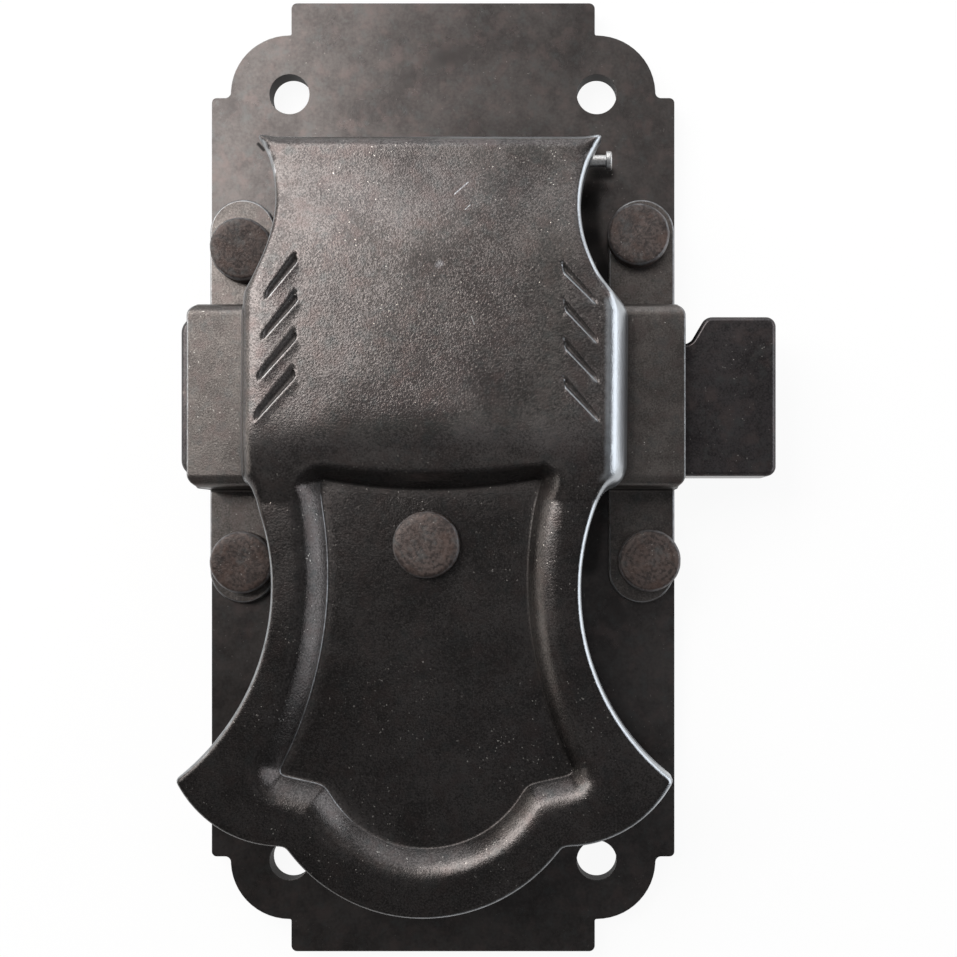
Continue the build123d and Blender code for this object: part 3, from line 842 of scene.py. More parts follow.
def distance_to(loop: np.ndarray, points: np.ndarray) -> tuple[np.ndarray, np.ndarray]:
    """Distance of points to a closed loop.

    Args:
        loop: The loop's points.
        points: The points.

    Returns:
        Their distances, positive inside, and the number of each one's nearest segment.
    """
    ends = np.roll(loop, -1, axis=0)
    span = ends - loop
    length = (span**2).sum(axis=1)
    best = np.full(len(points), 1e9)
    which = np.zeros(len(points), dtype=int)
    inside = np.zeros(len(points), dtype=bool)
    for first in range(0, len(points), 2000):
        block = slice(first, first + 2000)
        part = points[block]
        offset = part[:, None, :] - loop[None]
        share = np.clip((offset * span).sum(axis=2) / length, 0, 1)
        gap = ((offset - share[..., None] * span) ** 2).sum(axis=2)
        which[block] = gap.argmin(axis=1)
        best[block] = gap.min(axis=1)
        below = loop[None, :, 1] <= part[:, None, 1]
        crosses = below != (ends[None, :, 1] <= part[:, None, 1])
        rise = np.where(np.abs(span[:, 1]) < 1e-12, 1e-12, span[:, 1])
        at = loop[None, :, 0] + (part[:, None, 1] - loop[None, :, 1]) / rise * span[None, :, 0]
        inside[block] = (crosses & (part[:, None, 0] < at)).sum(axis=1) % 2 == 1
    best = np.sqrt(best)
    return np.where(inside, best, -best), which


def smoothstep(values: np.ndarray, start: float, end: float) -> np.ndarray:
    """0 at start, 1 at end and smooth between them; start may be the larger one."""
    share = np.clip((values - start) / (end - start), 0, 1)
    return share * share * (3 - 2 * share)


@dataclass(frozen=True)
class Slash:
    """One chisel cut in the lever's hump, wide at its upper inner end."""

    start: Place
    finish: Place
    wide: float
    narrow: float
    depth: float
    shear: float = 0.9

    def axes(self) -> tuple[np.ndarray, np.ndarray, np.ndarray, float]:
        """Measures the cut.

        Returns:
            Its start, the direction along it, the direction to its upper side, and its length.
        """
        start, finish = np.array(self.start), np.array(self.finish)
        along = finish - start
        length = np.linalg.norm(along)
        along = along / length
        side = np.array([-along[1], along[0]])
        return start, along, side * (1 if side[1] >= 0 else -1), length

    def local(self, points: np.ndarray) -> tuple[np.ndarray, np.ndarray, np.ndarray]:
        """Places points in the cut, whose wide end is square to the lever's edge.

        Args:
            points: Flat places.

        Returns:
            Share of the way along the cut, distance to its upper side, and distance from its wide end.
        """
        start, along, side, length = self.axes()
        offset = points - start
        across = offset @ side
        run = offset @ along + across * self.shear
        return run / length, across, run

    def width(self, share: np.ndarray | float) -> np.ndarray | float:
        """The cut's width, some share of the way along it."""
        return self.wide + (self.narrow - self.wide) * np.clip(share, 0, 1)

    def ends(self, share: np.ndarray, run: np.ndarray) -> np.ndarray:
        """1 between the cut's ends, falling steeply at the wide one and slowly at the narrow one."""
        return smoothstep(run, -0.1, 0.35) * (1 - smoothstep(share, 0.86, 1.03))

    def lowering(self, points: np.ndarray) -> np.ndarray:
        """Works the cut: a steep lower wall with a low lip, and a floor that rises to the upper side.

        Args:
            points: Flat places.

        Returns:
            How far the skin lies lower there; negative on the lip.
        """
        share, across, run = self.local(points)
        width = self.width(share)
        inside = np.clip(across / width + 0.5, 0, 1)
        floor = smoothstep(inside, 0.0, 0.22) * (1 - smoothstep(inside, 0.45, 1.0))
        ends = self.ends(share, run)
        fade = 1 - 0.35 * np.clip(share, 0, 1)
        lip = np.exp(-((across + width / 2 + 0.15) / 0.16) ** 2) * 0.07
        return self.depth * floor * ends * fade - lip * ends

    def lit_wall(self, points: np.ndarray) -> np.ndarray:
        """Finds the walls where the black is rubbed off.

        Args:
            points: Flat places.

        Returns:
            1 on the steep lower wall and on the wall at the wide end.
        """
        share, across, run = self.local(points)
        width = self.width(share)
        lower = np.exp(-((across + width * 0.5 + 0.03) / 0.16) ** 2) * self.ends(share, run + 0.2)
        beside = smoothstep(across, -0.5 * self.wide - 0.1, -0.5 * self.wide + 0.1)
        beside = beside * (1 - smoothstep(across, 0.2 * self.wide, 0.6 * self.wide))
        blunt = np.exp(-((run - 0.1) / 0.14) ** 2) * beside
        return np.maximum(lower, blunt)

    def samples(self) -> np.ndarray:
        """Lays points inside and beside the cut.

        Returns:
            The places that the mesh needs there.
        """
        start, along, side, length = self.axes()
        found = []
        for share in np.linspace(-0.14, 1.08, int(length / 0.2)):
            width = self.width(share)
            for across in (-0.8, -0.62, -0.5, -0.4, -0.3, -0.18, 0.0, 0.2, 0.4, 0.55, 0.75):
                found.append(start + along * share * length + side * across * width)
        return np.array(found)


@dataclass
class PressedLever:
    """Pull flap pressed from one sheet.

    It has a hump over the bolt, side flanges, a sunken panel and a lobed foot. Sizes are in millimetres.
    A half is a distance from the lever's own centre line, and so is a place's first number.
    """

    centre: float = -0.95  # X of the centre line at the plate's middle
    lean: float = 0.008  # its slope
    flange_shift: float = 0.35
    lug_centre: float = -0.8
    sheet: float = 1.6
    edge_level: float = 10.6
    rim_level: float = 14.5
    crest_level: float = 17.35
    floor_level: float = 11.5
    top_z: float = 50.0
    top_half: float = 25.6
    waist: Place = (22.4, 40.5)
    shoulder: Place = (26.9, 26.4)
    flange_half: float = 27.4
    flange_top: float = 24.0
    flange_bottom: float = -0.8
    flange_step: float = 1.2
    lower_waist: Place = (22.9, -17.5)
    tip: Place = (36.8, -45.2)
    under_bulge: float = 2.5
    notch: Place = (20.5, -55.1)
    lobe_bottom: float = -65.7
    crest_top: float = 30.4
    crest_bottom: float = 13.0
    crest_drop: float = 4.0  # how much lower the crest ends at the hump's sides
    hump_foot: float = -0.6
    foot_drop: float = 3.4  # how much lower the hump ends there
    hump_side: Place = (11.0, 19.0)  # halves between which the hump's middle passes into its sides
    hump_power: float = 4.0  # how suddenly the hump falls to the panel
    power_drop: float = 1.6  # how much less so at its sides
    top_drop: float = 0.4  # how far the top edge lies below the rim's level
    panel_top: Place = (16.7, -0.6)
    panel_sag: float = 1.7
    panel_waist: Place = (14.9, -17.1)
    panel_corner: Place = (22.2, -44.8)
    panel_notch: Place = (15.0, -46.4)
    panel_bottom: float = -55.9
    roll_width: float = 4.0
    top_roll_width: float = 2.4
    roll_power: float = 1.7
    edge_round: float = 0.9
    flange_round: float = 2.8
    top_bend: float = 2.2
    flange_draft: float = 1.9
    left_flange_draft: float = 0.9
    bottom_round: float = 0.3
    slash_count: int = 4
    slash_pitch: float = 5.5
    left_slash_start: Place = (18.7, 31.2)
    right_slash_start: Place = (19.7, 29.9)
    left_slash_run: Place = (4.8, -5.9)
    right_slash_run: Place = (4.7, -5.3)
    slash_growth: Place = (0.35, -0.35)
    lug_outer: float = 22.0
    lug_radius: float = 2.6
    hinge_z: float = 48.0
    hinge_level: float = 6.8
    pin_hole: float = 1.92
    wave_size: float = 13.0
    wave_height: float = 0.07
    wave_seed: float = 4.2
    arc_step: float = 0.2

    def outline(self, spacing: float) -> np.ndarray:
        """Draws the lever's outline about its own centre line.

        Args:
            spacing: Distance between neighbours.

        Returns:
            The closed loop.
        """
        step = self.arc_step
        foot = (self.flange_half - self.flange_step, self.flange_bottom - self.flange_step)
        under = (
            (self.tip[0] + self.notch[0] + self.under_bulge) / 2,
            (self.tip[1] + self.notch[1]) / 2 - self.under_bulge,
        )
        corner = (self.top_half, self.top_z)
        low, high = ((self.flange_half, z) for z in (self.flange_bottom, self.flange_top))
        half = [
            level_arc(self.lobe_bottom, self.notch, step),
            arc_through(self.notch, under, self.tip, step),
            arc_through(self.tip, self.lower_waist, foot, step),
            straight(foot, low, step),
            straight(low, high, step),
            straight(high, self.shoulder, step),
            arc_through(self.shoulder, self.waist, corner, step),
            straight(corner, (0, self.top_z), step),
        ]
        return closed_loop(half, spacing, 1.2)

    def panel(self, spacing: float) -> np.ndarray:
        """Draws the sunken floor's outline about the lever's centre line.

        Args:
            spacing: Distance between neighbours.

        Returns:
            The closed loop.
        """
        step = self.arc_step
        sag = (self.panel_top[0] / 2, self.panel_top[1] - self.panel_sag * 0.75)
        half = [
            level_arc(self.panel_bottom, self.panel_notch, step),
            straight(self.panel_notch, self.panel_corner, step),
            arc_through(self.panel_corner, self.panel_waist, self.panel_top, step),
            arc_through(self.panel_top, sag, (0, self.panel_top[1] - self.panel_sag), step),
        ]
        return closed_loop(half, spacing, 2.2)

    def slashes(self) -> list[Slash]:
        """Sets out the cuts; each lower one is a little longer, and on the left wider.

        Returns:
            The cuts of both sides.
        """
        found = []
        for row in range(self.slash_count):
            across, fall = (row * growth for growth in self.slash_growth)
            (x, z), run = self.left_slash_start, self.left_slash_run
            x, z = x + 0.17 * row, z - row * self.slash_pitch
            finish = (-x - run[0] - across, z + run[1] + fall)
            found.append(Slash((-x, z), finish, 1.35 + 0.1 * row, 0.8 + 0.08 * row, 0.62))
            (x, z), run = self.right_slash_start, self.right_slash_run
            z = z - row * self.slash_pitch
            finish = (x + run[0] + across / 2, z + run[1] + fall / 2)
            found.append(Slash((x, z), finish, 1.15, 0.6, 0.45, 1.6))
        return found

    def skin_level(self, points: np.ndarray, depth: float, rounded: float = 1.0) -> np.ndarray:
        """Level of the sheet's front skin, or of a skin behind it.

        Args:
            points: Places about the lever's centre line.
            depth: How far the skin lies behind the front one.
            rounded: 1 for the front skin's rounded edges, 0 for the square inside.

        Returns:
            A level for each point.
        """
        x, z = points[:, 0], points[:, 1]
        # The hump rises from the lever's top to its crest and falls to the panel, lower down at its sides.
        rise = self.crest_level - self.rim_level
        up = smoothstep(z, self.top_z, self.crest_top)
        aside = smoothstep(np.abs(x), *self.hump_side)
        foot = self.hump_foot - self.foot_drop * aside
        crest = self.crest_bottom - self.crest_drop * aside
        down = np.clip((crest - z) / (crest - foot), 0, 1)
        steepness = self.hump_power - self.power_drop * aside
        hump = rise * up * (1 - down**steepness) - self.top_drop * (1 - up)
        surface = self.rim_level + hump - depth
        # The outline's edge is rounded, and most beside the flanges and along the top.
        edge, _ = distance_to(self._outline, points)
        edge = np.maximum(edge - depth, 0)
        radius = self.edge_round + (self.flange_round - self.edge_round) * self._beside_flange(z, 6)
        near_top = smoothstep(z, self.top_z - 5, self.top_z - 2.5)
        straight_top = near_top * smoothstep(self.top_half - np.abs(x), 0.5, 3.0)
        radius = radius + (self.top_bend - radius) * straight_top
        radius = np.maximum(radius * rounded, 0.3)
        eased = self._beside_flange(z, 4) * smoothstep(x, 8, 14)
        short = np.clip(radius * (1 - 0.36 * eased) - edge, 0, None)
        surface = surface - (radius - np.sqrt(np.maximum(radius**2 - short**2, 0)))
        # Round the panel the sheet rolls down to the sunken floor.
        gap, nearest = distance_to(self._panel, points)
        outside = -gap
        width = self._roll[nearest]
        lip = depth * 0.7
        share = np.clip((outside - lip) / np.maximum(width - lip * 0.6, 0.4), 0, 1)
        roll = 1 - (1 - share) ** self.roll_power
        floor = self.floor_level - depth
        surface = floor + (surface - floor) * roll
        # Pressed sheet is a little wavy.
        size = self.wave_size
        wave = np.array([noise.noise(Vector((a / size, b / size, self.wave_seed))) for a, b in points])
        return surface + self.wave_height * wave

    def _rings(self, loop: np.ndarray, offsets: Sequence[float]) -> np.ndarray:
        """Lays rings of points beside a loop, without those where the rings cross.

        Args:
            loop: The loop.
            offsets: Each ring's distance from it, positive to its inside.

        Returns:
            The points.
        """
        normals = inward_normals(loop)
        found = []
        for offset in offsets:
            ring = loop + normals * offset
            gap, _ = distance_to(loop, ring)
            found.append(ring[np.abs(gap) > abs(offset) * 0.97])
        return np.concatenate(found)

    def _skin(self, loop: np.ndarray, depth: float, pitch: float, slashes: Sequence[Slash]) -> tuple:
        """Triangulates one skin inside a loop.

        Args:
            loop: Its boundary.
            depth: How far it lies behind the front skin.
            pitch: Spacing of its plain points.
            slashes: Cuts in it.

        Returns:
            Its flat points, its triangles, and for each point of the loop its number.
        """
        edge_offsets = (0.12, 0.27, 0.45, 0.68, 0.95, 1.3, 1.75, 2.3) if depth == 0 else (0.5, 1.2)
        roll_offsets = (0.3, 0.08, 0.0, -0.06, -0.16, -0.32, -0.55, -0.85, -1.2, -1.65, -2.15, -2.7, -3.2)
        if depth:
            roll_offsets = (0.0, -1.0, -1.2, -1.5, -2.0, -2.6, -3.2)
        panel = self._panel if depth == 0 else self._panel[::2]
        guides = [self._rings(loop, edge_offsets), self._rings(panel, roll_offsets)]
        guides += [slash.samples() for slash in slashes]
        guides = np.concatenate(guides)
        low, high = loop.min(axis=0), loop.max(axis=0)
        rows = np.arange(low[1], high[1], pitch * 0.87)
        grid = np.array([
            (x + (pitch / 2 if number % 2 else 0), z)
            for number, z in enumerate(rows) for x in np.arange(low[0], high[0], pitch)
        ])
        points = np.concatenate([guides, grid[self._clear(grid, guides)]])
        inside, _ = distance_to(loop, points)
        points = np.concatenate([loop, points[inside > 0.06]])
        result = delaunay_2d_cdt(
            [Vector(p) for p in points], [], [list(range(len(loop)))], 1, 1e-5
        )
        flat = np.array([tuple(v) for v in result[0]])
        source = {}
        for number, origins in enumerate(result[3]):
            for origin in origins:
                source[origin] = number
        boundary = [source[number] for number in range(len(loop))]
        return flat, [tuple(face) for face in result[2]], boundary

    @staticmethod
    def _clear(grid: np.ndarray, guides: np.ndarray, room: float = 0.45) -> np.ndarray:
        """Finds the plain points that no guide comes near.

        Args:
            grid: The plain points.
            guides: The points that matter.
            room: Size of the cells that are compared with their neighbours.

        Returns:
            True for each plain point that may stay.
        """
        taken = {(round(x / room), round(z / room)) for x, z in guides}
        beside = [(across, upward) for across in (-1, 0, 1) for upward in (-1, 0, 1)]
        cells = [(round(x / room), round(z / room)) for x, z in grid]
        return np.array([
            not any((x + across, z + upward) in taken for across, upward in beside) for x, z in cells
        ])

    def mesh(self) -> bpy.types.Mesh:
        """Front skin, side walls, inner skin and lugs as one closed sheet.

        Returns:
            The mesh in metres, with wear and two kinds of painted shade.
        """
        self._outline = self.outline(0.45)
        self._panel = self.panel(0.4)
        facing_up = -inward_normals(self._panel)[:, 1]
        upper = smoothstep(self._panel[:, 1], -6, -1.5) * smoothstep(facing_up, 0.5, 0.85)
        self._roll = self.roll_width + (self.top_roll_width - self.roll_width) * upper
        slashes = self.slashes()
        flat, faces, rim = self._skin(self._outline, 0.0, 0.8, slashes)
        level = self.skin_level(flat, 0.0)
        cut = sum(slash.lowering(flat) for slash in slashes)
        level = level - cut
        verts, polygons = self._walled(flat, level, faces, rim)
        rubbed = sum(slash.lit_wall(flat) * (1.3 if slash.start[0] > 0 else 0.7) for slash in slashes)
        wear, painted_shade = self._marks(verts, cut, rubbed)
        verts[:, 0] += self._middle(verts[:, 1])
        verts, lug_faces = self._lugs(verts)
        wear = np.r_[wear, np.full(len(verts) - len(wear), 0.2)]
        painted_shade = np.r_[painted_shade, np.zeros(len(verts) - len(painted_shade))]
        made = bpy.data.meshes.new("lever")
        x, z, level = verts.T
        places = np.stack([x, -(PLATE_THICKNESS + level), z], axis=1) * MM
        made.from_pydata(places.tolist(), [], polygons + lug_faces)
        set_attribute(made, WEAR, wear)
        set_attribute(made, PAINTED_SHADE, painted_shade)
        # Painted shade: the black is darker below the hump, less so on the panel's roll, and near the top.
        gap, _ = distance_to(self._panel, verts[:, :2])
        roll = smoothstep(-gap, -0.2, 0.3) * smoothstep(-gap, 3.6, 2.0)
        below = smoothstep(z, 7, -7) * (1 - 0.45 * roll)
        set_attribute(made, PAINTED_DIMMING, below + 0.38 * smoothstep(z, 24, 42))
        body = bmesh.new()
        body.from_mesh(made)
        bmesh.ops.recalc_face_normals(body, faces=body.faces)
        body.to_mesh(made)
        body.free()
        smooth_by_angle(made, 50)
        return made

    def _beside_flange(self, z: np.ndarray, reach: float) -> np.ndarray:
        """1 at the heights of the flanges, fading to 0 within reach below and above them."""
        up = smoothstep(z, self.flange_bottom - reach, self.flange_bottom + 2)
        return up * (1 - smoothstep(z, self.flange_top - 1, self.flange_top + reach + 1))

    def _middle(self, z: np.ndarray) -> np.ndarray:
        """The lever's centre line: it leans a little, and its flanges stand a little further right."""
        return self.centre + self.lean * z + self.flange_shift * self._beside_flange(z, 5)

    def _walled(self, flat: np.ndarray, level: np.ndarray, faces: list, rim: list) -> tuple:
        """Adds the outer wall, the sheet's edge, the inner wall and the inner skin to the front skin.

        Args:
            flat: Flat places of the front skin's points.
            level: Their levels.
            faces: The front skin's triangles.
            rim: Numbers of its boundary points, in order.

        Returns:
            All points as x, z and level, and all faces.
        """
        outline, normals = self._outline, inward_normals(self._outline)
        draft = np.where(outline[:, 0] > 0, self.flange_draft, self.left_flange_draft)
        draft = draft * self._beside_flange(outline[:, 1], 3)
        top = level[rim]
        low = self.edge_level + self.bottom_round
        rings = []
        for share, drop in ((0.3, 0.12), (0.6, 0.28), (0.82, 0.45), (1.0, 1.0)):
            out = outline - normals * (draft * share)[:, None]
            rings.append(np.c_[out, top + (low - top) * drop])
        inner_loop = self._inset(outline)
        foot = outline - normals * draft[:, None]
        inner_foot = inner_loop - normals * draft[:, None]
        lap = self.bottom_round
        for inset, height in ((0.3 * lap, 0.3 * lap), (lap, 0.0), (self.sheet - lap, 0.0),
                              (self.sheet - 0.3 * lap, 0.3 * lap)):
            ring = foot + (inner_foot - foot) * (inset / self.sheet)
            rings.append(np.c_[ring, np.full(len(foot), self.edge_level + height)])
        back_flat, back_faces, back_rim = self._skin(inner_loop, self.sheet, 1.6, [])
        back_level = self.skin_level(back_flat, self.sheet, 0.35)
        rings.append(np.c_[inner_foot, np.full(len(foot), low)])
        verts = [np.c_[flat, level]]
        polygons = list(faces)
        count = len(flat)
        previous = list(rim)
        for ring in rings:
            current = list(range(count, count + len(ring)))
            verts.append(ring)
            polygons += self._strip(previous, current)
            previous = current
            count += len(ring)
        verts.append(np.c_[back_flat, back_level])
        polygons += [tuple(count + number for number in face[::-1]) for face in back_faces]
        polygons += self._strip(previous, [count + number for number in back_rim])
        return np.concatenate(verts), polygons

    def _inset(self, loop: np.ndarray) -> np.ndarray:
        """Moves a loop inwards by the sheet's thickness, also in its pointed corners.

        Args:
            loop: The loop.

        Returns:
            The inner loop, point for point.
        """
        moved = loop + inward_normals(loop) * self.sheet
        for _ in range(14):
            gap, _ = distance_to(loop, moved)
            slope = np.stack([
                distance_to(loop, moved + step)[0] - distance_to(loop, moved - step)[0]
                for step in (np.array([0.1, 0.0]), np.array([0.0, 0.1]))
            ], axis=1)
            slope /= np.maximum(np.linalg.norm(slope, axis=1, keepdims=True), TINY)
            moved = moved + slope * np.clip(self.sheet * 0.98 - gap, 0, 0.5)[:, None]
        return moved

    @staticmethod
    def _strip(first: list, second: list) -> list:
        """Joins two closed rows of points by faces, without those that have no area.

        Args:
            first: Numbers of the one row's points.
            second: Numbers of the other's.

        Returns:
            The faces.
        """
        found = []
        for number in range(len(first)):
            after = (number + 1) % len(first)
            corners = [first[number], second[number], second[after], first[after]]
            corners = list(dict.fromkeys(corners))
            if len(corners) > 2:
                found.append(tuple(corners))
        return found

    def _marks(
        self, verts: np.ndarray, cut: np.ndarray, rubbed: np.ndarray
    ) -> tuple[np.ndarray, np.ndarray]:
        """Wear along the edges and painted shade in the crease, the top left slit, the slashes and the right
        flange's foot.

        Args:
            verts: All points as x, z and level.
            cut: How far the slashes lower each point of the front skin.
            rubbed: Wear on the slashes' walls, for the same points.

        Returns:
            Wear and painted shade for each point.
        """
        x, z, level = verts.T
        edge, _ = distance_to(self._outline, verts[:, :2])
        gap, _ = distance_to(self._panel, verts[:, :2])
        # Only the front skin has slashes.
        cut, walls = (np.r_[part, np.zeros(len(verts) - len(part))] for part in (cut, rubbed))
        behind = np.arange(len(verts)) >= len(rubbed)
        # The outline's edge, wider on the right and rougher on the left.
        right = smoothstep(x, -12, 6)
        rough = smoothstep(z, 42, 45) * smoothstep(z, 49.5, 48.8)
        rough = (1 - right) * (rough + 0.5 * smoothstep(z, -46, -42) * smoothstep(z, -6, -14))
        wear = 1 - smoothstep(edge, 0.15 + 0.2 * right + 0.35 * rough, 0.5 + 0.35 * right + 0.45 * rough)
        wear = wear * (0.75 + 0.30 * right) * (1 - 0.4 * smoothstep(z, -46, -52))
        # The right flange, the panel's left foot and the slashes.
        flange = smoothstep(z, -3, 0) * smoothstep(z, 27, 24) * right
        foot = np.exp(-((gap + 0.05) / 0.16) ** 2) * smoothstep(-x, 8, 12) * smoothstep(z, -1, -4)
        lips = np.clip(-9 * cut, 0, 1)
        for rubbed_part in (flange * smoothstep(edge, 2.4, 1.3) * 0.85, foot * 0.62, lips * 0.5, walls):
            wear = np.maximum(wear, rubbed_part)
        # Painted shade darkens the crease round the panel, the slit in the top left corner and the slashes'
        # floors.
        crease = np.exp(-((gap - 0.1) / 0.32) ** 2) * (0.25 + 0.75 * smoothstep(z, -5, -2))
        slit = np.exp(-((x + 24.6) ** 2 + (z - 48.9) ** 2) / 0.55**2)
        floor = np.clip(cut * (1.2 - 0.8 * right), 0, 1)
        painted_shade = np.maximum(np.maximum(crease, slit), floor) * (1 - np.clip(walls, 0, 1))
        # Painted shade along the foot of the right flange's wall, which loses its wear there.
        seam = flange * (level < self.edge_level + 1.2)
        wear = np.where(behind & (edge > 1.0), 0.0, wear * (1 - seam))
        return wear, np.maximum(painted_shade, seam)

    def _lugs(self, verts: np.ndarray) -> tuple[np.ndarray, list]:
        """Adds the two lugs that carry the pin.

        Args:
            verts: Points so far, as x, z and level.

        Returns:
            All points and the lugs' faces.
        """
        count = 28
        angles = np.pi * np.arange(count + 1) / count
        outer = [
            (self.hinge_level - self.lug_radius * math.sin(a), self.hinge_z + self.lug_radius * math.cos(a))
            for a in angles
        ]
        top = self.rim_level - self.sheet + 0.2
        outer = [(top, self.top_z - 1.4)] + outer + [(top, self.hinge_z - self.lug_radius)]
        ring = len(outer)
        angles = np.array([math.atan2(z - self.hinge_z, height - self.hinge_level) for height, z in outer])
        radius = self.pin_hole / 2
        hole = [
            (self.hinge_level + radius * math.cos(a), self.hinge_z + radius * math.sin(a)) for a in angles
        ]
        found = []
        extra = []
        for hand in (-1, 1):
            first = len(verts) + len(extra)
            for x in (self.lug_outer, self.lug_outer - self.sheet):
                extra += [(self.lug_centre + hand * x, z, height) for height, z in outer]
                extra += [(self.lug_centre + hand * x, z, height) for height, z in hole]
            near, near_hole, far, far_hole = (first + ring * number for number in range(4))
            for step in range(ring):
                after = (step + 1) % ring
                found.append((near + step, near + after, near_hole + after, near_hole + step))
                found.append((far + after, far + step, far_hole + step, far_hole + after))
                found.append((near + after, near + step, far + step, far + after))
                found.append((near_hole + step, near_hole + after, far_hole + after, far_hole + step))
        return np.concatenate([verts, np.array(extra)]), found

    def build(self, material: bpy.types.Material) -> bpy.types.Object:
        """Makes the lever and hangs it on its body."""
        piece = new_object("pressed_lever", self.mesh(), material)
        return place_piece(piece, Body.LEVER, ["lever"])


@dataclass(frozen=True)
class RivetSet:
    """Rivets of one size on one body, each head hammered a little differently."""

    name: str
    nodes: tuple[str, ...]
    body: Body
    profile: tuple[Place, ...]  # radius and level about the seat, from the head to the tail
    seat: float  # level of the face that the heads sit on
    dent: float = 0.12  # depth of the hammer's dents
    dent_size: float = 2.6
    seed: int = 3
    tilts: tuple[Place, ...] = ()  # how far each head's front falls away along X and Z, as slopes

    def build(self, material: bpy.types.Material) -> bpy.types.Object:
        """Makes the rivets and ties them to their body.

        Args:
            material: Their finish.

        Returns:
            One mesh of all of them.
        """
        face = -(PLATE_THICKNESS + self.seat) * MM
        seats = bpy.data.meshes.new(self.name)
        seats.from_pydata([(x, face, z) for x, z in self._centres()], [], [])
        carrier = new_object(self.name + "_seats", seats, material)
        blank = new_object(self.name + "_blank", lathe(self.name + "_blank", self.profile), material)
        tree, sockets = self._tree(material)
        mesh = grown_mesh(carrier, tree, sockets, {
            "Blank": blank, "Dent": self.dent * MM, "Dent size": self.dent_size * MM, "Seed": self.seed,
            "Face": face,
        })
        mesh.name = self.name
        bpy.data.objects.remove(blank)
        smooth_by_angle(mesh, 60)
        self._finish_heads(mesh)
        piece = new_object(self.name, mesh, material)
        return place_piece(piece, self.body, self.nodes)

    def _centres(self) -> list[Place]:
        """X and Z of each rivet's middle, in metres."""
        boxes = [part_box(node) for node in self.nodes]
        return [((low.x + high.x) / 2, (low.z + high.z) / 2) for low, high in boxes]

    def _finish_heads(self, mesh: bpy.types.Mesh) -> None:
        """Tilts the heads, marks their rims as worn and notes how far each point is from its rivet's middle.

        Args:
            mesh: The rivets; it is changed.
        """
        head = max(radius for radius, height in self.profile if height > 0)
        top = max(height for _, height in self.profile)
        centres = self._centres()
        tilts = self.tilts or ((0.0, 0.0),) * len(centres)
        worn, reaches = [], []
        for vertex in mesh.vertices:
            gaps = [math.dist((vertex.co.x, vertex.co.z), centre) for centre in centres]
            nearest = gaps.index(min(gaps))
            reach = gaps[nearest] / MM
            height = -vertex.co.y / MM - PLATE_THICKNESS - self.seat
            on_rim = smoothstep(np.array([reach]), head - 0.75, head - 0.2)[0] * (height > top - 0.7)
            worn.append(0.55 * on_rim)
            reaches.append(reach)
            if height > 0:
                across, upward = vertex.co.x - centres[nearest][0], vertex.co.z - centres[nearest][1]
                fall = across * tilts[nearest][0] + upward * tilts[nearest][1]
                vertex.co.y += fall * min(1.0, height / top)
        set_attribute(mesh, WEAR, np.array(worn))
        set_attribute(mesh, REACH, np.array(reaches))

    def _tree(self, material: bpy.types.Material) -> tuple[Tree, dict[str, str]]:
        """Geometry tree that puts a blank on each seat, turns it and dents its head.

        Args:
            material: The finish that the rivets get.

        Returns:
            The tree and its inputs' identifiers by name.
        """
        tree, sockets = geometry_tree(self.name, {
            "Geometry": "Geometry", "Blank": "Object", "Dent": "Float", "Dent size": "Float", "Seed": "Int",
            "Face": "Float",
        })
        given = tree.node("NodeGroupInput")
        blank = tree.node("GeometryNodeObjectInfo", None, {"Object": given["Blank"]})["Geometry"]
        turn = tree.node(
            "FunctionNodeRandomValue", {"data_type": "FLOAT"},
            {"Min": 0.0, "Max": 6.28, "Seed": given["Seed"]},
        )["Value"]
        spin = tree.node("ShaderNodeCombineXYZ", None, {"Y": turn})["Vector"]
        placed = tree.node(
            "GeometryNodeInstanceOnPoints", None,
            {"Points": given["Geometry"], "Instance": blank, "Rotation": spin},
        )["Instances"]
        solid = tree.node("GeometryNodeRealizeInstances", None, {"Geometry": placed})["Geometry"]
        place = tree.node("GeometryNodeInputPosition")["Position"]
        parts = tree.node("ShaderNodeSeparateXYZ", None, {"Vector": place})
        forward = (given["Face"] - parts["Y"]).above(0.0, 0.6 * MM)
        scale = tree.maths("DIVIDE", 1.0, given["Dent size"])
        grain = tree.node(
            "ShaderNodeTexNoise", {"noise_dimensions": "4D"},
            {"Vector": place, "W": given["Seed"] * 1.7, "Scale": scale, "Detail": 2.0},
        )["Color"]
        centred = tree.vector_maths("SUBTRACT", {0: grain, 1: (0.5, 0.5, 0.5)})
        moved = tree.vector_maths("SCALE", {0: centred, "Scale": given["Dent"] * forward * 2.0})
        dented = tree.node("GeometryNodeSetPosition", None, {"Geometry": solid, "Offset": moved})
        close_geometry(tree, dented["Geometry"], material)
        return tree, sockets


def flat_head(
    head: float, height: float, edge: float, shank: float, back: float, tail: float
) -> tuple[Place, ...]:
    """Profile of a rivet with a nearly flat head and a tail spread flush with the plate's back.

    Args:
        head: Diameter of the head.
        height: Its height over the seat.
        edge: Radius of its rim.
        shank: Diameter of the shank.
        back: How far the plate's back lies behind the seat.
        tail: Diameter of the tail.

    Returns:
        Radius and level of each point, about the seat.
    """
    radius = head / 2
    crown = 0.10  # how much higher the head's middle is than its rim
    points = [(0.0, height)]
    points += [(radius * share, height - crown * share**3) for share in (0.12, 0.25, 0.4, 0.55, 0.68, 0.8)]
    for step in range(7):
        angle = math.pi / 2 * step / 6
        fall = crown + edge * (1 - math.cos(angle))
        points.append((radius - edge + edge * math.sin(angle), height - fall))
    points += [(radius, height * 0.3), (radius - 0.12, 0.06), (radius - 0.3, 0.0), (shank / 2, 0.0)]
    slope = tail / 2 - shank / 2
    points += [(shank / 2, slope - back), (tail / 2, -back), (tail / 4, -back), (0.0, -back)]
    return tuple(points)


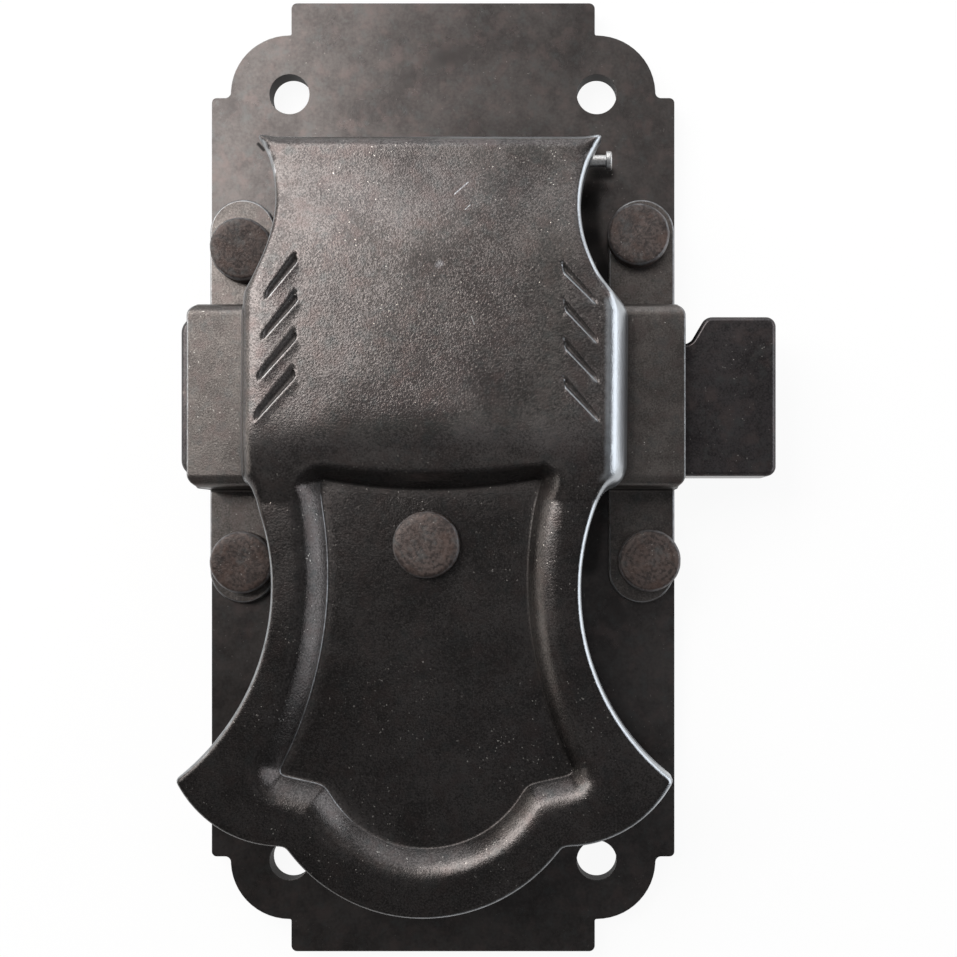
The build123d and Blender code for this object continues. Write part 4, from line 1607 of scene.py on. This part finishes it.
@dataclass
class BoltSpring:
    """Compression spring behind the bolt, between its post and the end of the groove."""

    wire: float = 0.6  # its thickness
    turns: int = 6
    travel: float = 13.39  # how far the bolt is drawn

    def build(self, material: bpy.types.Material) -> bpy.types.Object:
        """Makes the coil and ties it to the base.

        Args:
            material: The wire's finish.

        Returns:
            The spring.
        """
        low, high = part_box("bolt_spring")
        length = (high.x - low.x) / MM - self.wire
        radius = (high.z - low.z) / MM / 2 - self.wire / 2
        sizes = {
            "Length": length * MM, "Radius": radius * MM, "Wire": self.wire / 2 * MM,
            "Turns": float(self.turns),
        }
        tree, sockets = geometry_tree("coil", dict.fromkeys(sizes, "Float"))
        given = tree.node("NodeGroupInput")
        helix = tree.node("GeometryNodeCurveSpiral", None, {
            "Resolution": 40, "Rotations": given["Turns"], "Start Radius": given["Radius"],
            "End Radius": given["Radius"], "Height": given["Length"],
        })["Curve"]
        quarter = (0, math.pi / 2, 0)
        laid = tree.node("GeometryNodeTransform", None, {"Geometry": helix, "Rotation": quarter})
        round_wire = {"Resolution": 12, "Radius": given["Wire"]}
        ring = tree.node("GeometryNodeCurvePrimitiveCircle", None, round_wire)
        tube = tree.node("GeometryNodeCurveToMesh", None, {
            "Curve": laid["Geometry"], "Profile Curve": ring["Curve"], "Fill Caps": True,
        })
        close_geometry(tree, tube["Mesh"], material)
        carrier = new_object("coil_carrier", bpy.data.meshes.new("coil_carrier"), material)
        mesh = grown_mesh(carrier, tree, sockets, sizes)
        shift = Vector((low.x + self.wire / 2 * MM, (low.y + high.y) / 2, (low.z + high.z) / 2))
        for vertex in mesh.vertices:
            vertex.co += shift
        mesh.name = "spring"
        smooth_by_angle(mesh, 60)
        piece = new_object("spring", mesh, material)
        place_piece(piece, Body.BASE, ["bolt_spring"])
        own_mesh(piece)
        return piece


@dataclass(frozen=True)
class SoftenedPart:
    """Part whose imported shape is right; softened_copy says what its sizes mean."""

    name: str
    node: str
    body: Body
    slot: Slot
    width: float
    bores: tuple[tuple[float, float, float], ...] = ()
    corner: float = 0.0
    worn: float = 0.6
    held: bool = True

    def build(self, material: bpy.types.Material) -> bpy.types.Object:
        """Makes the copy and ties it to its body.

        Args:
            material: Its finish.

        Returns:
            The copy.
        """
        mesh = softened_copy(self.node, self.width, self.bores, self.corner, self.worn, self.held)
        piece = new_object(self.name, mesh, material)
        return place_piece(piece, self.body, [self.node])


PARTS = (
    SoftenedPart(
        "plate", "base_plate", Body.BASE, Slot.PLATE, 0.25,
        tuple((x * SCREWS[0], z * SCREWS[1], BORE_REACH) for x in (-1, 1) for z in (-1, 1)), corner=0.9,
    ),
    SoftenedPart("left_strap", "left_keeper", Body.BASE, Slot.STRAP, 0.3, held=False),
    SoftenedPart("right_strap", "right_keeper", Body.BASE, Slot.STRAP, 0.3, held=False),
    SoftenedPart("bolt_bar", "bolt", Body.BOLT, Slot.BOLT, 0.3, worn=0.25),
    SoftenedPart("cam", "draw_cam", Body.LEVER, Slot.CAM, 0.25),
    SoftenedPart("bracket", "hinge_bracket", Body.BASE, Slot.PLATE, 0.25),
    SoftenedPart("pin", "hinge_pin", Body.BASE, Slot.PIN, 0.12),
    SoftenedPart("post", "spring_post", Body.BASE, Slot.PIN, 0.15),
)

LEVER_MARKS = (
    Mark((3.3, 40.6), (5.2, 42.4), 0.13, 0.62),
    Mark((5.6, 38.9), (4.9, 38.2), 0.12, 0.4),
    Mark((1.1, 29.9), (1.4, 30.1), 0.7, 0.26),
    Mark((5.9, 22.4), (6.3, 21.3), 0.12, 0.3),
)

# Painted shadows on the plate: beside the lever's right edge, under the pin, under the lever's top left tip
# and beside its lower right part.
PLATE_PAINTED_SHADOWS = (
    Mark((24.4, 50.0), (23.2, 43.5), 2.3, 0.7),
    Mark((23.2, 43.5), (23.4, 38.0), 2.4, 0.8),
    Mark((23.4, 38.0), (25.4, 32.6), 2.4, 0.85),
    Mark((25.4, 32.6), (28.2, 28.4), 2.2, 0.8),
    Mark((24.4, 48.0), (26.2, 48.0), 1.5, 0.95),
    Mark((-29.2, 52.7), (-28.4, 51.8), 0.42, 1.0),
    Mark((25.2, -2.0), (23.2, -14.0), 2.2, 0.6),
)

FINISHES = {
    Slot.PLATE: SteelFinish(
        "plate_blackened", dark=(0.040, 0.036, 0.035), light=(0.078, 0.071, 0.068), roughness=0.28,
        grain_size=0.5, grain_tone=0.22, grain_depth=0.006, speck_share=0.08, speck_size=0.09,
        rust_share=0.06, painted_shadows=PLATE_PAINTED_SHADOWS,
    ),
    Slot.STRAP: SteelFinish(
        "strap_blackened", dark=(0.056, 0.050, 0.047), light=(0.128, 0.116, 0.108), roughness=0.33,
        grain_tone=0.5, grain_depth=0.018, speck_share=0.2, rust_share=0.25, turn=40.0,
    ),
    Slot.RIVET: SteelFinish(
        "rivet_iron", dark=(0.024, 0.017, 0.015), light=(0.070, 0.052, 0.046), warm=(0.075, 0.045, 0.035),
        metallic=0.35, roughness=0.50, grain_size=0.42, grain_tone=0.9, grain_depth=0.06, speck_share=0.16,
        rust_share=0.5, ring_tone=0.16, turn=70.0,
    ),
    Slot.LEVER: SteelFinish(
        "lever_blackened", dark=(0.064, 0.058, 0.056), light=(0.150, 0.137, 0.132),
        warm=(0.118, 0.094, 0.089), cool=(0.088, 0.093, 0.092), speck=(0.42, 0.40, 0.37), roughness=0.26,
        grain_size=0.27, grain_tone=0.78, grain_depth=0.028, speck_share=0.36, speck_size=0.095,
        speck_pitch=1.0, rust_share=0.08, marks=LEVER_MARKS, turn=100.0,
    ),
    Slot.BOLT: SteelFinish(
        "bolt_blackened", dark=(0.030, 0.027, 0.028), light=(0.066, 0.060, 0.061), roughness=0.28,
        grain_depth=0.012, speck_share=0.2, rust_share=0.2, turn=130.0,
    ),
    Slot.CAM: SteelFinish("cam_steel_dark", grain_depth=0.008, speck_share=0.1, turn=160.0),
    Slot.PIN: SteelFinish(
        "pin_bright", dark=(0.34, 0.34, 0.33), light=(0.58, 0.57, 0.56), warm=(0.48, 0.42, 0.38),
        cool=(0.42, 0.44, 0.45), metallic=1.0, roughness=0.45, grain_depth=0.012, speck_share=0.0,
        turn=190.0,
    ),
    Slot.SPRING: SteelFinish(
        "spring_wire", dark=(0.16, 0.16, 0.17), light=(0.27, 0.27, 0.28), warm=(0.22, 0.19, 0.17),
        cool=(0.19, 0.20, 0.21), metallic=1.0, roughness=0.34, grain_depth=0.003, speck_share=0.0,
        turn=220.0,
    ),
}

# The panel's rivet holds the cam under the panel, so its shank is long and its tail is a second head.
PANEL_RIVET = (
    (0.0, 2.0), (0.7, 2.0), (1.5, 1.99), (2.4, 1.97), (3.3, 1.94), (4.1, 1.9), (4.55, 1.8),
    (4.85, 1.6), (4.97, 1.3), (5.0, 0.8), (4.95, 0.1), (4.8, 0.0), (2.25, 0.0), (2.25, -4.6),
    (3.9, -4.6), (4.0, -5.0), (3.8, -5.9), (3.2, -6.2), (1.6, -6.2), (0.0, -6.2),
)

RIVETS = (
    RivetSet(
        "strap_rivets",
        ("left_upper_rivet", "left_lower_rivet", "right_upper_rivet", "right_lower_rivet"),
        Body.BASE, flat_head(9.7, 3.0, 0.7, 5.0, 4.5, 7.9), 1.5, dent=0.16,
        tilts=((0.09, -0.10), (0.06, -0.05), (-0.03, 0.04), (-0.03, -0.02)),
    ),
    RivetSet(
        "bracket_rivets", ("left_bracket_rivet", "right_bracket_rivet"),
        Body.BASE, flat_head(7.0, 1.8, 0.5, 4.0, 5.0, 6.3), 2.0, dent=0.08, seed=8,
    ),
    RivetSet("panel_rivet", ("cam_rivet",), Body.LEVER, PANEL_RIVET, 11.5, dent=0.07, seed=12),
)


def main() -> None:
    """Builds the studio and every piece of the lock."""
    logging.basicConfig(level=logging.INFO, format="%(message)s")
    Studio().build()
    materials = {slot: finish.material() for slot, finish in FINISHES.items()}
    for part in PARTS:
        part.build(materials[part.slot])
    for rivets in RIVETS:
        rivets.build(materials[Slot.RIVET])
    PressedLever().build(materials[Slot.LEVER])
    BoltSpring().build(materials[Slot.SPRING])


if __name__ == "__main__":
    main()
